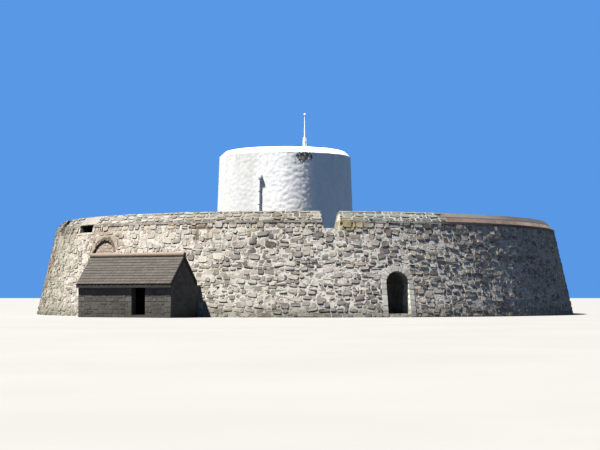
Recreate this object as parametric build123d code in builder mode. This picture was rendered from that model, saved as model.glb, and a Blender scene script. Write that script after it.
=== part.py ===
from build123d import *

import os
from math import asin, cos, radians, sin, tan

# A small coastal fort: a white martello tower that stands inside a round granite battery.
#
# Millimetres, +Z up, origin on the ground at the centre of the battery. A bearing is an
# angle in plan from -Y, the landward side, growing towards +X. The battery is a rampart
# with a battered outer face, a coped parapet on top and a courtyard inside. A gateway
# leads through the rampart, embrasures and one long loophole are cut through the parapet,
# and a small stone guardhouse leans its back on the outer face.

# Battery, from its foot inwards: outer face, slope, parapet top, rampart walk
BATTERY_BASE_R = 18400
SCARP_HEIGHT = 5650
SCARP_BATTER = 1260
SLOPE_RUN = 490
SLOPE_RISE = 550
PARAPET_TOP_WIDTH = 1450
PARAPET_BACK_FALL = 60
COPING_EDGE = 150
COPING_NOSE = 45
WALK_DEPTH = 1000
WALK_WIDTH = 2300
PAVING_HEIGHT = 200
RAMPART_SEGMENTS = 4
PARAPET_SEGMENTS = 6
COPING_JOINT_BEARING = 29

# Gateway through the rampart
GATE_BEARING = 18.3
GATE_WIDTH = 1400
GATE_SPRING_HEIGHT = 1950
GATE_ARCH_RING = 320

# Embrasures and the loophole in the parapet
EMBRASURE_BEARINGS = (6, -66, -99, -174, 156, 112)
EMBRASURE_SILL_RISE = 550
EMBRASURE_SILL_FALL = 60
EMBRASURE_OUTER_WIDTH = 950
EMBRASURE_INNER_WIDTH = 720
EMBRASURE_TOP_SPREAD = 420
LOOPHOLE_BEARING = -52
LOOPHOLE_WIDTH = 1700
LOOPHOLE_SILL_RISE = 550
LOOPHOLE_HEIGHT = 480
LOOPHOLE_LINTEL_BEARING = 250

# Walled-up arch in the outer face
ARCH_BEARING = -44.1
ARCH_WIDTH = 2200
ARCH_SPRING_DEPTH = 1100
ARCH_JAMB_HEIGHT = 2050
ARCH_RING = 300
ARCH_RECESS = 450
ARCH_REVEAL = 120

# Tower: radius from its own axis
TOWER_X = -1400
TOWER_BASE_R = 4960
TOWER_LIP_HEIGHT = 10900
TOWER_BATTER = 390
TOWER_SLOPE_RUN = 420
TOWER_SLOPE_RISE = 380
TOWER_PARAPET_TOP_WIDTH = 850
TOWER_PARAPET_DEPTH = 1250
TOWER_WALL = 1960
TOWER_FLOOR_HEIGHT = 300
VAULT_RISE = 2100
VAULT_COVER = 1050
VAULT_SEAT = 200
VAULT_COURSES = 6
DECK_THICKNESS = 250
TOWER_SEGMENTS = 4
TOWER_PARAPET_SEGMENTS = 3

# Tower doorway
DOOR_BEARING = 0
DOOR_WIDTH = 1100
DOOR_SPRING_HEIGHT = 1850
DOOR_ARCH_RING = 280

# Rainwater pipe on the tower
PIPE_BEARING = -19.5
PIPE_DIAMETER = 110
PIPE_STAND_OFF = 60
PIPE_TOP_DEPTH = 1800
PIPE_FOOT = 500
HOPPER_WIDTH = 300
HOPPER_HEIGHT = 280
HOPPER_NECK = 160
CLIP_COUNT = 5
CLIP_WIDTH = 190
CLIP_HEIGHT = 60
CLIP_THICKNESS = 12
CLIP_CLEARANCE = 0.3

# Flagstaff on the tower's parapet
STAFF_BEARING = 22
STAFF_SETBACK = 290
STAFF_REACH = 2320
STAFF_FOOT_DIAMETER = 100
STAFF_TIP_DIAMETER = 60
STAFF_BALL_DIAMETER = 150
STAFF_FOOT_GAP = 60
PLATE_SIDE = 420
PLATE_THICKNESS = 40
CHEEK_HEIGHT = 620
CHEEK_WIDTH = 220
CHEEK_THICKNESS = 40
CHEEK_CLEARANCE = 0.3
PIN_DIAMETER = 36
PIN_END = 30

# Guardhouse against the outer face
HOUSE_BEARING = -25
HOUSE_SHIFT = -1175
HOUSE_LENGTH = 6250
HOUSE_DEPTH = 2800
HOUSE_WALL = 450
HOUSE_EAVES = 1850
HOUSE_PITCH = 47
HOUSE_FLOOR = 150
HOUSE_BACK_GAP = 0.3
ROOF_THICKNESS = 150
EAVES_OVERHANG = 140
VERGE_OVERHANG = 70
RIDGE_RADIUS = 140
HOUSE_DOOR_SHIFT = 975
HOUSE_DOOR_WIDTH = 900
HOUSE_DOOR_HEAD = 1850
LINTEL_BEARING = 200

# How far a cutter runs past what it cuts
MARGIN = 500

# Radii and heights that follow from the sizes above
SCARP_LIP_R = BATTERY_BASE_R - SCARP_BATTER
CREST_R = SCARP_LIP_R - SLOPE_RUN
CREST_HEIGHT = SCARP_HEIGHT + SLOPE_RISE
PARAPET_INNER_R = CREST_R - PARAPET_TOP_WIDTH
WALK_HEIGHT = SCARP_HEIGHT - WALK_DEPTH
WALK_INNER_R = PARAPET_INNER_R - WALK_WIDTH
ARCH_SPRING_HEIGHT = WALK_HEIGHT - ARCH_SPRING_DEPTH
ARCH_FOOT = ARCH_SPRING_HEIGHT - ARCH_JAMB_HEIGHT
EMBRASURE_SILL = WALK_HEIGHT + EMBRASURE_SILL_RISE
LOOPHOLE_SILL = WALK_HEIGHT + LOOPHOLE_SILL_RISE
TOWER_LIP_R = TOWER_BASE_R - TOWER_BATTER
TOWER_CREST_R = TOWER_LIP_R - TOWER_SLOPE_RUN
TOWER_CREST_HEIGHT = TOWER_LIP_HEIGHT + TOWER_SLOPE_RISE
TOWER_PLATFORM_R = TOWER_CREST_R - TOWER_PARAPET_TOP_WIDTH
TOWER_ROOM_R = TOWER_BASE_R - TOWER_WALL
WALL_TOP_HEIGHT = TOWER_LIP_HEIGHT - TOWER_PARAPET_DEPTH
VAULT_SPRING_HEIGHT = WALL_TOP_HEIGHT - VAULT_COVER - VAULT_RISE
PIPE_TOP = TOWER_LIP_HEIGHT - PIPE_TOP_DEPTH
STAFF_R = TOWER_CREST_R - STAFF_SETBACK
STAFF_TOP = TOWER_CREST_HEIGHT + STAFF_REACH


def scarp_radius(height):
    """Radius of the battery's outer face at a height."""
    return BATTERY_BASE_R + (SCARP_LIP_R - BATTERY_BASE_R) * height / SCARP_HEIGHT


def tower_radius(height):
    """Radius of the tower's outer face at a height."""
    return TOWER_BASE_R + (TOWER_LIP_R - TOWER_BASE_R) * height / TOWER_LIP_HEIGHT


def section_plane(bearing, axis_x=0):
    """Upright plane through an axis: X runs out along the bearing, Y runs up."""
    turn = radians(bearing)
    return Plane(
        origin=(axis_x, 0, 0),
        x_dir=(sin(turn), -cos(turn), 0),
        z_dir=(-cos(turn), -sin(turn), 0),
    )


def face_plane(bearing, radius, axis_x=0):
    """Upright plane that faces out along a bearing: X runs along the wall, Y runs up."""
    turn = radians(bearing)
    return Plane(
        origin=(axis_x + radius * sin(turn), -radius * cos(turn), 0),
        x_dir=(cos(turn), sin(turn), 0),
        z_dir=(sin(turn), -cos(turn), 0),
    )


def ground_plane(bearing, radius, axis_x=0, height=0):
    """Level plane at a radius: X runs along the wall, Y runs in towards the axis."""
    turn = radians(bearing)
    return Plane(
        origin=(axis_x + radius * sin(turn), -radius * cos(turn), height),
        x_dir=(cos(turn), sin(turn), 0),
        z_dir=(0, 0, 1),
    )


def turned(outline, bearing, arc, axis_x=0, mode=Mode.ADD):
    """Revolves an outline of radius and height from a bearing through an arc."""
    with BuildSketch(section_plane(bearing, axis_x)) as profile:
        with BuildLine():
            Polyline(*outline, close=True)
        make_face()
    revolve(profile.sketch, axis=Axis((axis_x, 0, 0), (0, 0, 1)), revolution_arc=arc, mode=mode)


def round_headed(plane, width, foot, spring, depth, mode=Mode.SUBTRACT):
    """Round-headed passage that runs in from a face plane."""
    half = width / 2
    with BuildSketch(plane) as opening:
        with BuildLine():
            Polyline((-half, spring), (-half, foot), (half, foot), (half, spring))
            ThreePointArc((half, spring), (0, spring + half), (-half, spring))
        make_face()
    extrude(opening.sketch, amount=-depth, mode=mode)


def arch_ring(plane, width, ring, spring, depth, mode=Mode.SUBTRACT):
    """Half ring of arch stones over a round-headed passage."""
    outer = width / 2 + ring
    with BuildSketch(plane) as stones:
        with Locations((0, spring)):
            Circle(outer)
            Circle(width / 2, mode=Mode.SUBTRACT)
            Rectangle(2 * outer, outer, align=(Align.CENTER, Align.MAX), mode=Mode.SUBTRACT)
    extrude(stones.sketch, amount=-depth, mode=mode)


def square_headed(plane, width, low, high, depth, mode=Mode.SUBTRACT):
    """Square-headed passage that runs in from a face plane."""
    with BuildSketch(plane) as opening:
        with Locations((0, (low + high) / 2)):
            Rectangle(width, high - low)
    extrude(opening.sketch, amount=-depth, mode=mode)


os.makedirs("parts", exist_ok=True)

# Battery outlines, in radius and height. The coping caps the parapet's slope and top.
COPING_FOOT = SCARP_HEIGHT - COPING_EDGE
COPING_BEND = (CREST_R - COPING_EDGE / 2, CREST_HEIGHT - COPING_EDGE)
COPING_BACK = CREST_HEIGHT - PARAPET_BACK_FALL - COPING_EDGE
RAMPART_OUTLINE = (
    (WALK_INNER_R, 0),
    (BATTERY_BASE_R, 0),
    (scarp_radius(WALK_HEIGHT), WALK_HEIGHT),
    (WALK_INNER_R, WALK_HEIGHT),
)
PARAPET_OUTLINE = (
    (PARAPET_INNER_R, WALK_HEIGHT),
    (scarp_radius(WALK_HEIGHT), WALK_HEIGHT),
    (scarp_radius(COPING_FOOT), COPING_FOOT),
    COPING_BEND,
    (PARAPET_INNER_R, COPING_BACK),
)
COPING_UPPER_EDGE = (
    (scarp_radius(COPING_FOOT), COPING_FOOT),
    (scarp_radius(COPING_FOOT) + COPING_NOSE, COPING_FOOT),
    (SCARP_LIP_R + COPING_NOSE, SCARP_HEIGHT),
    (CREST_R, CREST_HEIGHT),
    (PARAPET_INNER_R - COPING_NOSE, CREST_HEIGHT - PARAPET_BACK_FALL),
    (PARAPET_INNER_R - COPING_NOSE, COPING_BACK),
    (PARAPET_INNER_R, COPING_BACK),
)
COPING_OUTLINE = (*COPING_UPPER_EDGE, COPING_BEND)
COPED_PARAPET_OUTLINE = (
    *COPING_UPPER_EDGE,
    (PARAPET_INNER_R, WALK_HEIGHT),
    (scarp_radius(WALK_HEIGHT), WALK_HEIGHT),
)
RAMPART_ARC = 360 / RAMPART_SEGMENTS
PARAPET_ARC = 360 / PARAPET_SEGMENTS
GATE_FACE = face_plane(GATE_BEARING, BATTERY_BASE_R + MARGIN)
GATE_DEPTH = BATTERY_BASE_R - WALK_INNER_R + 2 * MARGIN
ARCH_FACE = face_plane(ARCH_BEARING, BATTERY_BASE_R + MARGIN)
ARCH_DEPTH = BATTERY_BASE_R - SCARP_LIP_R + ARCH_RECESS + 2 * MARGIN


def face_band(depth, reach=0):
    """Outline of the skin of the battery's outer face, from a depth inside to a reach outside."""
    return (
        (BATTERY_BASE_R - depth, 0),
        (BATTERY_BASE_R + reach, 0),
        (scarp_radius(COPING_FOOT) + reach, COPING_FOOT),
        (scarp_radius(COPING_FOOT) - depth, COPING_FOOT),
    )


# Embrasure: the space of one at bearing 0, splayed in plan and widening upwards
EMBRASURE_TOP = CREST_HEIGHT + MARGIN
with BuildPart() as embrasure_space:
    for radius, width, sill in (
        (PARAPET_INNER_R - MARGIN, EMBRASURE_INNER_WIDTH, EMBRASURE_SILL),
        (BATTERY_BASE_R, EMBRASURE_OUTER_WIDTH, EMBRASURE_SILL - EMBRASURE_SILL_FALL),
    ):
        top_width = width + EMBRASURE_TOP_SPREAD * (EMBRASURE_TOP - sill) / (CREST_HEIGHT - sill)
        with BuildSketch(face_plane(0, radius)):
            with BuildLine():
                Polyline(
                    (-width / 2, sill),
                    (width / 2, sill),
                    (top_width / 2, EMBRASURE_TOP),
                    (-top_width / 2, EMBRASURE_TOP),
                    close=True,
                )
            make_face()
    loft()

# Walled-up arch: its space in the outer face, the surround of darker stones, the infill.
# The arch's crown rises past the level of the walk, into the parapet.
ARCH_OUTER_WIDTH = ARCH_WIDTH + 2 * ARCH_RING
ARCH_START = ARCH_BEARING - RAMPART_ARC / 4
with BuildPart() as arch_space:
    turned(face_band(ARCH_RECESS, MARGIN), ARCH_START, RAMPART_ARC / 2)
    round_headed(ARCH_FACE, ARCH_OUTER_WIDTH, ARCH_FOOT, ARCH_SPRING_HEIGHT, ARCH_DEPTH, Mode.INTERSECT)

with BuildPart() as walled_arch:
    turned(face_band(ARCH_RECESS), ARCH_START, RAMPART_ARC / 2)
    round_headed(ARCH_FACE, ARCH_OUTER_WIDTH, ARCH_FOOT, ARCH_SPRING_HEIGHT, ARCH_DEPTH, Mode.INTERSECT)
    round_headed(ARCH_FACE, ARCH_WIDTH, ARCH_FOOT, ARCH_SPRING_HEIGHT, ARCH_DEPTH)
walled_arch.part.label = "walled_arch_surround"
export_step(walled_arch.part, "parts/walled_arch_surround.step")

with BuildPart() as arch_infill:
    turned(face_band(ARCH_RECESS), ARCH_START, RAMPART_ARC / 2)
    round_headed(ARCH_FACE, ARCH_WIDTH, ARCH_FOOT, ARCH_SPRING_HEIGHT, ARCH_DEPTH, Mode.INTERSECT)
    turned(face_band(ARCH_REVEAL, MARGIN), ARCH_START - RAMPART_ARC / 4, RAMPART_ARC, mode=Mode.SUBTRACT)
arch_infill.part.label = "walled_arch_infill"
export_step(arch_infill.part, "parts/walled_arch_infill.step")

# Rampart, in segments that start at the gateway
for index in range(RAMPART_SEGMENTS):
    start = GATE_BEARING + index * RAMPART_ARC
    with BuildPart() as rampart:
        turned(RAMPART_OUTLINE, start, RAMPART_ARC)
        if index in (0, RAMPART_SEGMENTS - 1):
            round_headed(GATE_FACE, GATE_WIDTH, PAVING_HEIGHT, GATE_SPRING_HEIGHT, GATE_DEPTH)
            arch_ring(GATE_FACE, GATE_WIDTH, GATE_ARCH_RING, GATE_SPRING_HEIGHT, GATE_DEPTH)
        add(arch_space.part, mode=Mode.SUBTRACT)
    rampart.part.label = f"rampart_{index + 1}"
    export_step(rampart.part, f"parts/rampart_{index + 1}.step")

with BuildPart() as gate_arch:
    turned(RAMPART_OUTLINE, GATE_BEARING - RAMPART_ARC / 4, RAMPART_ARC / 2)
    arch_ring(GATE_FACE, GATE_WIDTH, GATE_ARCH_RING, GATE_SPRING_HEIGHT, GATE_DEPTH, Mode.INTERSECT)
gate_arch.part.label = "gate_arch"
export_step(gate_arch.part, "parts/gate_arch.step")

# Parapet and its coping, in segments that start at the joint in the coping. One block
# bridges the loophole in place of the coping, which stops against it on both sides.
SLOT_FACE = face_plane(LOOPHOLE_BEARING, BATTERY_BASE_R)
SLOT_DEPTH = BATTERY_BASE_R - PARAPET_INNER_R + MARGIN
LOOPHOLE_HEAD = LOOPHOLE_SILL + LOOPHOLE_HEIGHT
LINTEL_SPAN = LOOPHOLE_WIDTH + 2 * LOOPHOLE_LINTEL_BEARING
LINTEL_SPACE_TOP = CREST_HEIGHT + MARGIN


def loophole_space():
    """Cuts the slot and, over it, the space of the block that bridges it."""
    square_headed(SLOT_FACE, LOOPHOLE_WIDTH, LOOPHOLE_SILL, LOOPHOLE_HEAD, SLOT_DEPTH)
    square_headed(SLOT_FACE, LINTEL_SPAN, LOOPHOLE_HEAD, LINTEL_SPACE_TOP, SLOT_DEPTH)


with BuildPart() as loophole_lintel:
    turned(COPED_PARAPET_OUTLINE, LOOPHOLE_BEARING - PARAPET_ARC / 2, PARAPET_ARC)
    square_headed(SLOT_FACE, LINTEL_SPAN, LOOPHOLE_HEAD, LINTEL_SPACE_TOP, SLOT_DEPTH, Mode.INTERSECT)
loophole_lintel.part.label = "loophole_lintel"
export_step(loophole_lintel.part, "parts/loophole_lintel.step")

for index in range(PARAPET_SEGMENTS):
    start = COPING_JOINT_BEARING + index * PARAPET_ARC
    with BuildPart() as parapet:
        turned(PARAPET_OUTLINE, start, PARAPET_ARC)
        for bearing in EMBRASURE_BEARINGS:
            add(embrasure_space.part, rotation=(0, 0, bearing), mode=Mode.SUBTRACT)
        loophole_space()
        add(arch_space.part, mode=Mode.SUBTRACT)
    parapet.part.label = f"parapet_{index + 1}"
    export_step(parapet.part, f"parts/parapet_{index + 1}.step")

    with BuildPart() as coping:
        turned(COPING_OUTLINE, start, PARAPET_ARC)
        for bearing in EMBRASURE_BEARINGS:
            add(embrasure_space.part, rotation=(0, 0, bearing), mode=Mode.SUBTRACT)
        loophole_space()
    coping.part.label = f"coping_{index + 1}"
    export_step(coping.part, f"parts/coping_{index + 1}.step")

# Courtyard floor, between the rampart and the foot of the tower
with BuildPart() as courtyard_floor:
    with BuildSketch():
        Circle(WALK_INNER_R)
    extrude(amount=PAVING_HEIGHT)
    tower_foot = (
        (0, 0),
        (TOWER_BASE_R, 0),
        (tower_radius(PAVING_HEIGHT), PAVING_HEIGHT),
        (0, PAVING_HEIGHT),
    )
    turned(tower_foot, 0, 360, TOWER_X, Mode.SUBTRACT)
courtyard_floor.part.label = "courtyard_floor"
export_step(courtyard_floor.part, "parts/courtyard_floor.step")

# Tower wall, with a ledge inside for the vault
WALL_OUTLINE = (
    (TOWER_ROOM_R, 0),
    (TOWER_BASE_R, 0),
    (tower_radius(WALL_TOP_HEIGHT), WALL_TOP_HEIGHT),
    (TOWER_ROOM_R + VAULT_SEAT, WALL_TOP_HEIGHT),
    (TOWER_ROOM_R + VAULT_SEAT, VAULT_SPRING_HEIGHT),
    (TOWER_ROOM_R, VAULT_SPRING_HEIGHT),
)
WALL_ARC = 360 / TOWER_SEGMENTS
DOOR_FACE = face_plane(DOOR_BEARING, TOWER_BASE_R + MARGIN, TOWER_X)
DOOR_DEPTH = TOWER_BASE_R - TOWER_ROOM_R + 2 * MARGIN

for index in range(TOWER_SEGMENTS):
    start = DOOR_BEARING + index * WALL_ARC
    with BuildPart() as tower_wall:
        turned(WALL_OUTLINE, start, WALL_ARC, TOWER_X)
        if index in (0, TOWER_SEGMENTS - 1):
            round_headed(DOOR_FACE, DOOR_WIDTH, TOWER_FLOOR_HEIGHT, DOOR_SPRING_HEIGHT, DOOR_DEPTH)
            arch_ring(DOOR_FACE, DOOR_WIDTH, DOOR_ARCH_RING, DOOR_SPRING_HEIGHT, DOOR_DEPTH)
    tower_wall.part.label = f"tower_wall_{index + 1}"
    export_step(tower_wall.part, f"parts/tower_wall_{index + 1}.step")

with BuildPart() as door_arch:
    turned(WALL_OUTLINE, DOOR_BEARING - WALL_ARC / 2, WALL_ARC, TOWER_X)
    arch_ring(DOOR_FACE, DOOR_WIDTH, DOOR_ARCH_RING, DOOR_SPRING_HEIGHT, DOOR_DEPTH, Mode.INTERSECT)
door_arch.part.label = "tower_door_arch"
export_step(door_arch.part, "parts/tower_door_arch.step")

with BuildPart() as tower_floor:
    with BuildSketch():
        with Locations((TOWER_X, 0)):
            Circle(TOWER_ROOM_R)
    extrude(amount=TOWER_FLOOR_HEIGHT)
tower_floor.part.label = "tower_floor"
export_step(tower_floor.part, "parts/tower_floor.step")

# Vault over the room: a dome laid in level ring courses, solid above. Each course's soffit
# is straight between two points of a circle through the springing and the crown.
DOME_R = (TOWER_ROOM_R**2 + VAULT_RISE**2) / (2 * VAULT_RISE)
DOME_HALF_ANGLE = asin(TOWER_ROOM_R / DOME_R)
SOFFIT = []
for course in range(VAULT_COURSES + 1):
    angle = DOME_HALF_ANGLE * course / VAULT_COURSES
    height = VAULT_SPRING_HEIGHT + VAULT_RISE - DOME_R * (1 - cos(angle))
    SOFFIT.append((DOME_R * sin(angle), height))
VAULT_OUTLINE = (
    *SOFFIT,
    (TOWER_ROOM_R + VAULT_SEAT, VAULT_SPRING_HEIGHT),
    (TOWER_ROOM_R + VAULT_SEAT, WALL_TOP_HEIGHT),
    (0, WALL_TOP_HEIGHT),
)
with BuildPart() as tower_vault:
    turned(VAULT_OUTLINE, 0, 360, TOWER_X)
tower_vault.part.label = "tower_vault"
export_step(tower_vault.part, "parts/tower_vault.step")

with BuildPart() as tower_deck:
    with BuildSketch(Plane.XY.offset(WALL_TOP_HEIGHT)):
        with Locations((TOWER_X, 0)):
            Circle(TOWER_PLATFORM_R)
    extrude(amount=DECK_THICKNESS)
tower_deck.part.label = "tower_deck"
export_step(tower_deck.part, "parts/tower_deck.step")

# Tower parapet, with a sloping top
TOWER_PARAPET_OUTLINE = (
    (TOWER_PLATFORM_R, WALL_TOP_HEIGHT),
    (tower_radius(WALL_TOP_HEIGHT), WALL_TOP_HEIGHT),
    (TOWER_LIP_R, TOWER_LIP_HEIGHT),
    (TOWER_CREST_R, TOWER_CREST_HEIGHT),
    (TOWER_PLATFORM_R, TOWER_CREST_HEIGHT),
)
for index in range(TOWER_PARAPET_SEGMENTS):
    start = DOOR_BEARING + (index + 0.5) * 360 / TOWER_PARAPET_SEGMENTS
    with BuildPart() as tower_parapet:
        turned(TOWER_PARAPET_OUTLINE, start, 360 / TOWER_PARAPET_SEGMENTS, TOWER_X)
    tower_parapet.part.label = f"tower_parapet_{index + 1}"
    export_step(tower_parapet.part, f"parts/tower_parapet_{index + 1}.step")

# Rainwater pipe: it stands off the wall and leans with its batter
PIPE_LEAN = (tower_radius(PIPE_FOOT) - tower_radius(PIPE_TOP)) / (PIPE_TOP - PIPE_FOOT)
PIPE_OUT = PIPE_STAND_OFF + PIPE_DIAMETER / 2


def pipe_plane(height):
    """Plane square to the pipe at a height: X runs along the wall, Y runs in."""
    turn = radians(PIPE_BEARING)
    radius = tower_radius(height) + PIPE_OUT
    return Plane(
        origin=(TOWER_X + radius * sin(turn), -radius * cos(turn), height),
        x_dir=(cos(turn), sin(turn), 0),
        z_dir=(-PIPE_LEAN * sin(turn), PIPE_LEAN * cos(turn), 1),
    )


PIPE_RUN = (PIPE_TOP - PIPE_FOOT) * (1 + PIPE_LEAN**2) ** 0.5
CLIP_BACK = PIPE_OUT / (1 + PIPE_LEAN**2) ** 0.5 - CLIP_CLEARANCE
with BuildPart() as downpipe:
    with BuildSketch(pipe_plane(PIPE_FOOT)):
        Circle(PIPE_DIAMETER / 2)
    extrude(amount=PIPE_RUN)
    with BuildSketch(pipe_plane(PIPE_TOP)):
        Rectangle(HOPPER_NECK, HOPPER_NECK)
    with BuildSketch(pipe_plane(PIPE_TOP).offset(HOPPER_HEIGHT / 2)):
        Rectangle(HOPPER_WIDTH, 2 * PIPE_OUT - 2 * CLIP_THICKNESS)
    loft()
    with BuildSketch(pipe_plane(PIPE_TOP).offset(HOPPER_HEIGHT / 2)):
        Rectangle(HOPPER_WIDTH, 2 * PIPE_OUT - 2 * CLIP_THICKNESS)
    extrude(amount=HOPPER_HEIGHT / 2)
downpipe.part.label = "downpipe"
export_step(downpipe.part, "parts/downpipe.step")

# Pipe clips: a back plate against the wall and a strap round the pipe
with BuildPart() as pipe_clips:
    for index in range(CLIP_COUNT):
        height = PIPE_FOOT + (PIPE_TOP - PIPE_FOOT) * (index + 0.5) / CLIP_COUNT
        with BuildSketch(pipe_plane(height).offset(-CLIP_HEIGHT / 2)):
            Circle(PIPE_DIAMETER / 2 + CLIP_THICKNESS)
            with Locations((0, CLIP_BACK / 2)):
                Rectangle(CLIP_THICKNESS, CLIP_BACK)
            with Locations((0, CLIP_BACK - CLIP_THICKNESS / 2)):
                Rectangle(CLIP_WIDTH, CLIP_THICKNESS)
            Circle(PIPE_DIAMETER / 2 + CLIP_CLEARANCE, mode=Mode.SUBTRACT)
        extrude(amount=CLIP_HEIGHT)
pipe_clips.part.label = "pipe_clips"
export_step(pipe_clips.part, "parts/pipe_clips.step")

# Flagstaff, pinned between two iron cheeks on a plate on top of the tower's parapet
STAFF_FOOT = TOWER_CREST_HEIGHT + PLATE_THICKNESS + STAFF_FOOT_GAP
CHEEK_TOP = TOWER_CREST_HEIGHT + PLATE_THICKNESS + CHEEK_HEIGHT
CHEEK_SPACING = STAFF_FOOT_DIAMETER + 2 * CHEEK_CLEARANCE + CHEEK_THICKNESS
PIN_LEVELS = (STAFF_FOOT + CHEEK_HEIGHT * 0.15, STAFF_FOOT + CHEEK_HEIGHT * 0.7)
PIN_REACH = CHEEK_SPACING / 2 + CHEEK_THICKNESS / 2 + PIN_END


def staff_plane(height):
    """Level plane on the staff's axis at a height."""
    return ground_plane(STAFF_BEARING, STAFF_R, TOWER_X, height)


def pins(diameter, mode):
    """Both cross pins of the staff's heel, or the holes for them."""
    level = staff_plane(0)
    with BuildSketch(Plane(origin=level.origin, x_dir=level.y_dir, z_dir=level.x_dir)) as ends:
        with Locations(*[(0, height) for height in PIN_LEVELS]):
            Circle(diameter / 2)
    extrude(ends.sketch, amount=PIN_REACH, both=True, mode=mode)


with BuildPart() as staff_tabernacle:
    with BuildSketch(staff_plane(TOWER_CREST_HEIGHT)):
        Rectangle(PLATE_SIDE, PLATE_SIDE)
    extrude(amount=PLATE_THICKNESS)
    with BuildSketch(staff_plane(TOWER_CREST_HEIGHT + PLATE_THICKNESS)):
        with GridLocations(CHEEK_SPACING, 0, 2, 1):
            Rectangle(CHEEK_THICKNESS, CHEEK_WIDTH)
    extrude(amount=CHEEK_HEIGHT)
    pins(PIN_DIAMETER, Mode.ADD)
staff_tabernacle.part.label = "staff_tabernacle"
export_step(staff_tabernacle.part, "parts/staff_tabernacle.step")

with BuildPart() as flagstaff:
    with BuildSketch(staff_plane(STAFF_FOOT)):
        Circle(STAFF_FOOT_DIAMETER / 2)
    extrude(amount=CHEEK_TOP - STAFF_FOOT)
    with BuildSketch(staff_plane(CHEEK_TOP)):
        Circle(STAFF_FOOT_DIAMETER / 2)
    with BuildSketch(staff_plane(STAFF_TOP - STAFF_BALL_DIAMETER / 2)):
        Circle(STAFF_TIP_DIAMETER / 2)
    loft()
    with Locations(staff_plane(STAFF_TOP - STAFF_BALL_DIAMETER / 2)):
        Sphere(STAFF_BALL_DIAMETER / 2)
    pins(PIN_DIAMETER + 2 * CHEEK_CLEARANCE, Mode.SUBTRACT)
flagstaff.part.label = "flagstaff"
export_step(flagstaff.part, "parts/flagstaff.step")

# Guardhouse. Its own level plane has X along the house and Y in towards the battery.
HOUSE_LEFT = HOUSE_SHIFT - HOUSE_LENGTH / 2
HOUSE_RIGHT = HOUSE_SHIFT + HOUSE_LENGTH / 2
PITCH_RISE = tan(radians(HOUSE_PITCH))
RIDGE_UNDERSIDE = HOUSE_EAVES + HOUSE_DEPTH / 2 * PITCH_RISE
ROOF_UPRIGHT = ROOF_THICKNESS / cos(radians(HOUSE_PITCH))
DOOR_AT = HOUSE_SHIFT + HOUSE_DOOR_SHIFT
LINTEL_LENGTH = HOUSE_DOOR_WIDTH + 2 * LINTEL_BEARING
HOUSE_BACK_REACH = BATTERY_BASE_R - scarp_radius(HOUSE_EAVES) + HOUSE_LENGTH**2 / BATTERY_BASE_R


def house_section(along):
    """Upright plane across the house: X runs in towards the battery, Y runs up."""
    level = ground_plane(HOUSE_BEARING, BATTERY_BASE_R)
    return Plane(
        origin=level.origin + level.x_dir * along,
        x_dir=level.y_dir,
        z_dir=level.x_dir,
    )


def house_profile(outline, start, length, mode=Mode.ADD):
    """Extrudes an outline of depth and height along the house."""
    with BuildSketch(house_section(start)) as profile:
        with BuildLine():
            Polyline(*outline, close=True)
        make_face()
    extrude(profile.sketch, amount=length, mode=mode)


def clear_of_battery():
    """Trims the back of a wall to the curve and batter of the battery."""
    gap = HOUSE_BACK_GAP
    outline = (
        (0, 0),
        (BATTERY_BASE_R + gap, 0),
        (scarp_radius(WALK_HEIGHT) + gap, WALK_HEIGHT),
        (0, WALK_HEIGHT),
    )
    turned(outline, HOUSE_BEARING - RAMPART_ARC, 2 * RAMPART_ARC, mode=Mode.SUBTRACT)


def front_doorway(width, low, high, mode=Mode.SUBTRACT):
    """Square opening through the front wall, centred on the doorway."""
    with BuildSketch(ground_plane(HOUSE_BEARING, BATTERY_BASE_R, height=low)) as opening:
        with Locations((DOOR_AT, -HOUSE_DEPTH + HOUSE_WALL / 2)):
            Rectangle(width, HOUSE_WALL)
    extrude(opening.sketch, amount=high - low, mode=mode)


FRONT_WALL_OUTLINE = (
    (-HOUSE_DEPTH, 0),
    (-HOUSE_DEPTH, HOUSE_EAVES),
    (-HOUSE_DEPTH + HOUSE_WALL, HOUSE_EAVES + HOUSE_WALL * PITCH_RISE),
    (-HOUSE_DEPTH + HOUSE_WALL, 0),
)
REAR_WALL_OUTLINE = (
    (-HOUSE_WALL, 0),
    (-HOUSE_WALL, HOUSE_EAVES + HOUSE_WALL * PITCH_RISE),
    (0, HOUSE_EAVES),
    (HOUSE_BACK_REACH, HOUSE_EAVES),
    (HOUSE_BACK_REACH, 0),
)
GABLE_OUTLINE = (
    (-HOUSE_DEPTH, 0),
    (-HOUSE_DEPTH, HOUSE_EAVES),
    (-HOUSE_DEPTH / 2, RIDGE_UNDERSIDE),
    (0, HOUSE_EAVES),
    (HOUSE_BACK_REACH, HOUSE_EAVES),
    (HOUSE_BACK_REACH, 0),
)
FRONT_ROOF_OUTLINE = (
    (-HOUSE_DEPTH / 2, RIDGE_UNDERSIDE),
    (-HOUSE_DEPTH - EAVES_OVERHANG, HOUSE_EAVES - EAVES_OVERHANG * PITCH_RISE),
    (-HOUSE_DEPTH - EAVES_OVERHANG, HOUSE_EAVES - EAVES_OVERHANG * PITCH_RISE + ROOF_UPRIGHT),
    (-HOUSE_DEPTH / 2, RIDGE_UNDERSIDE + ROOF_UPRIGHT),
)
REAR_ROOF_OUTLINE = (
    (-HOUSE_DEPTH / 2, RIDGE_UNDERSIDE),
    (0, HOUSE_EAVES),
    (0, HOUSE_EAVES + ROOF_UPRIGHT),
    (-HOUSE_DEPTH / 2, RIDGE_UNDERSIDE + ROOF_UPRIGHT),
)
INNER_LENGTH = HOUSE_LENGTH - 2 * HOUSE_WALL
ROOF_LENGTH = HOUSE_LENGTH + 2 * VERGE_OVERHANG

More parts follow.
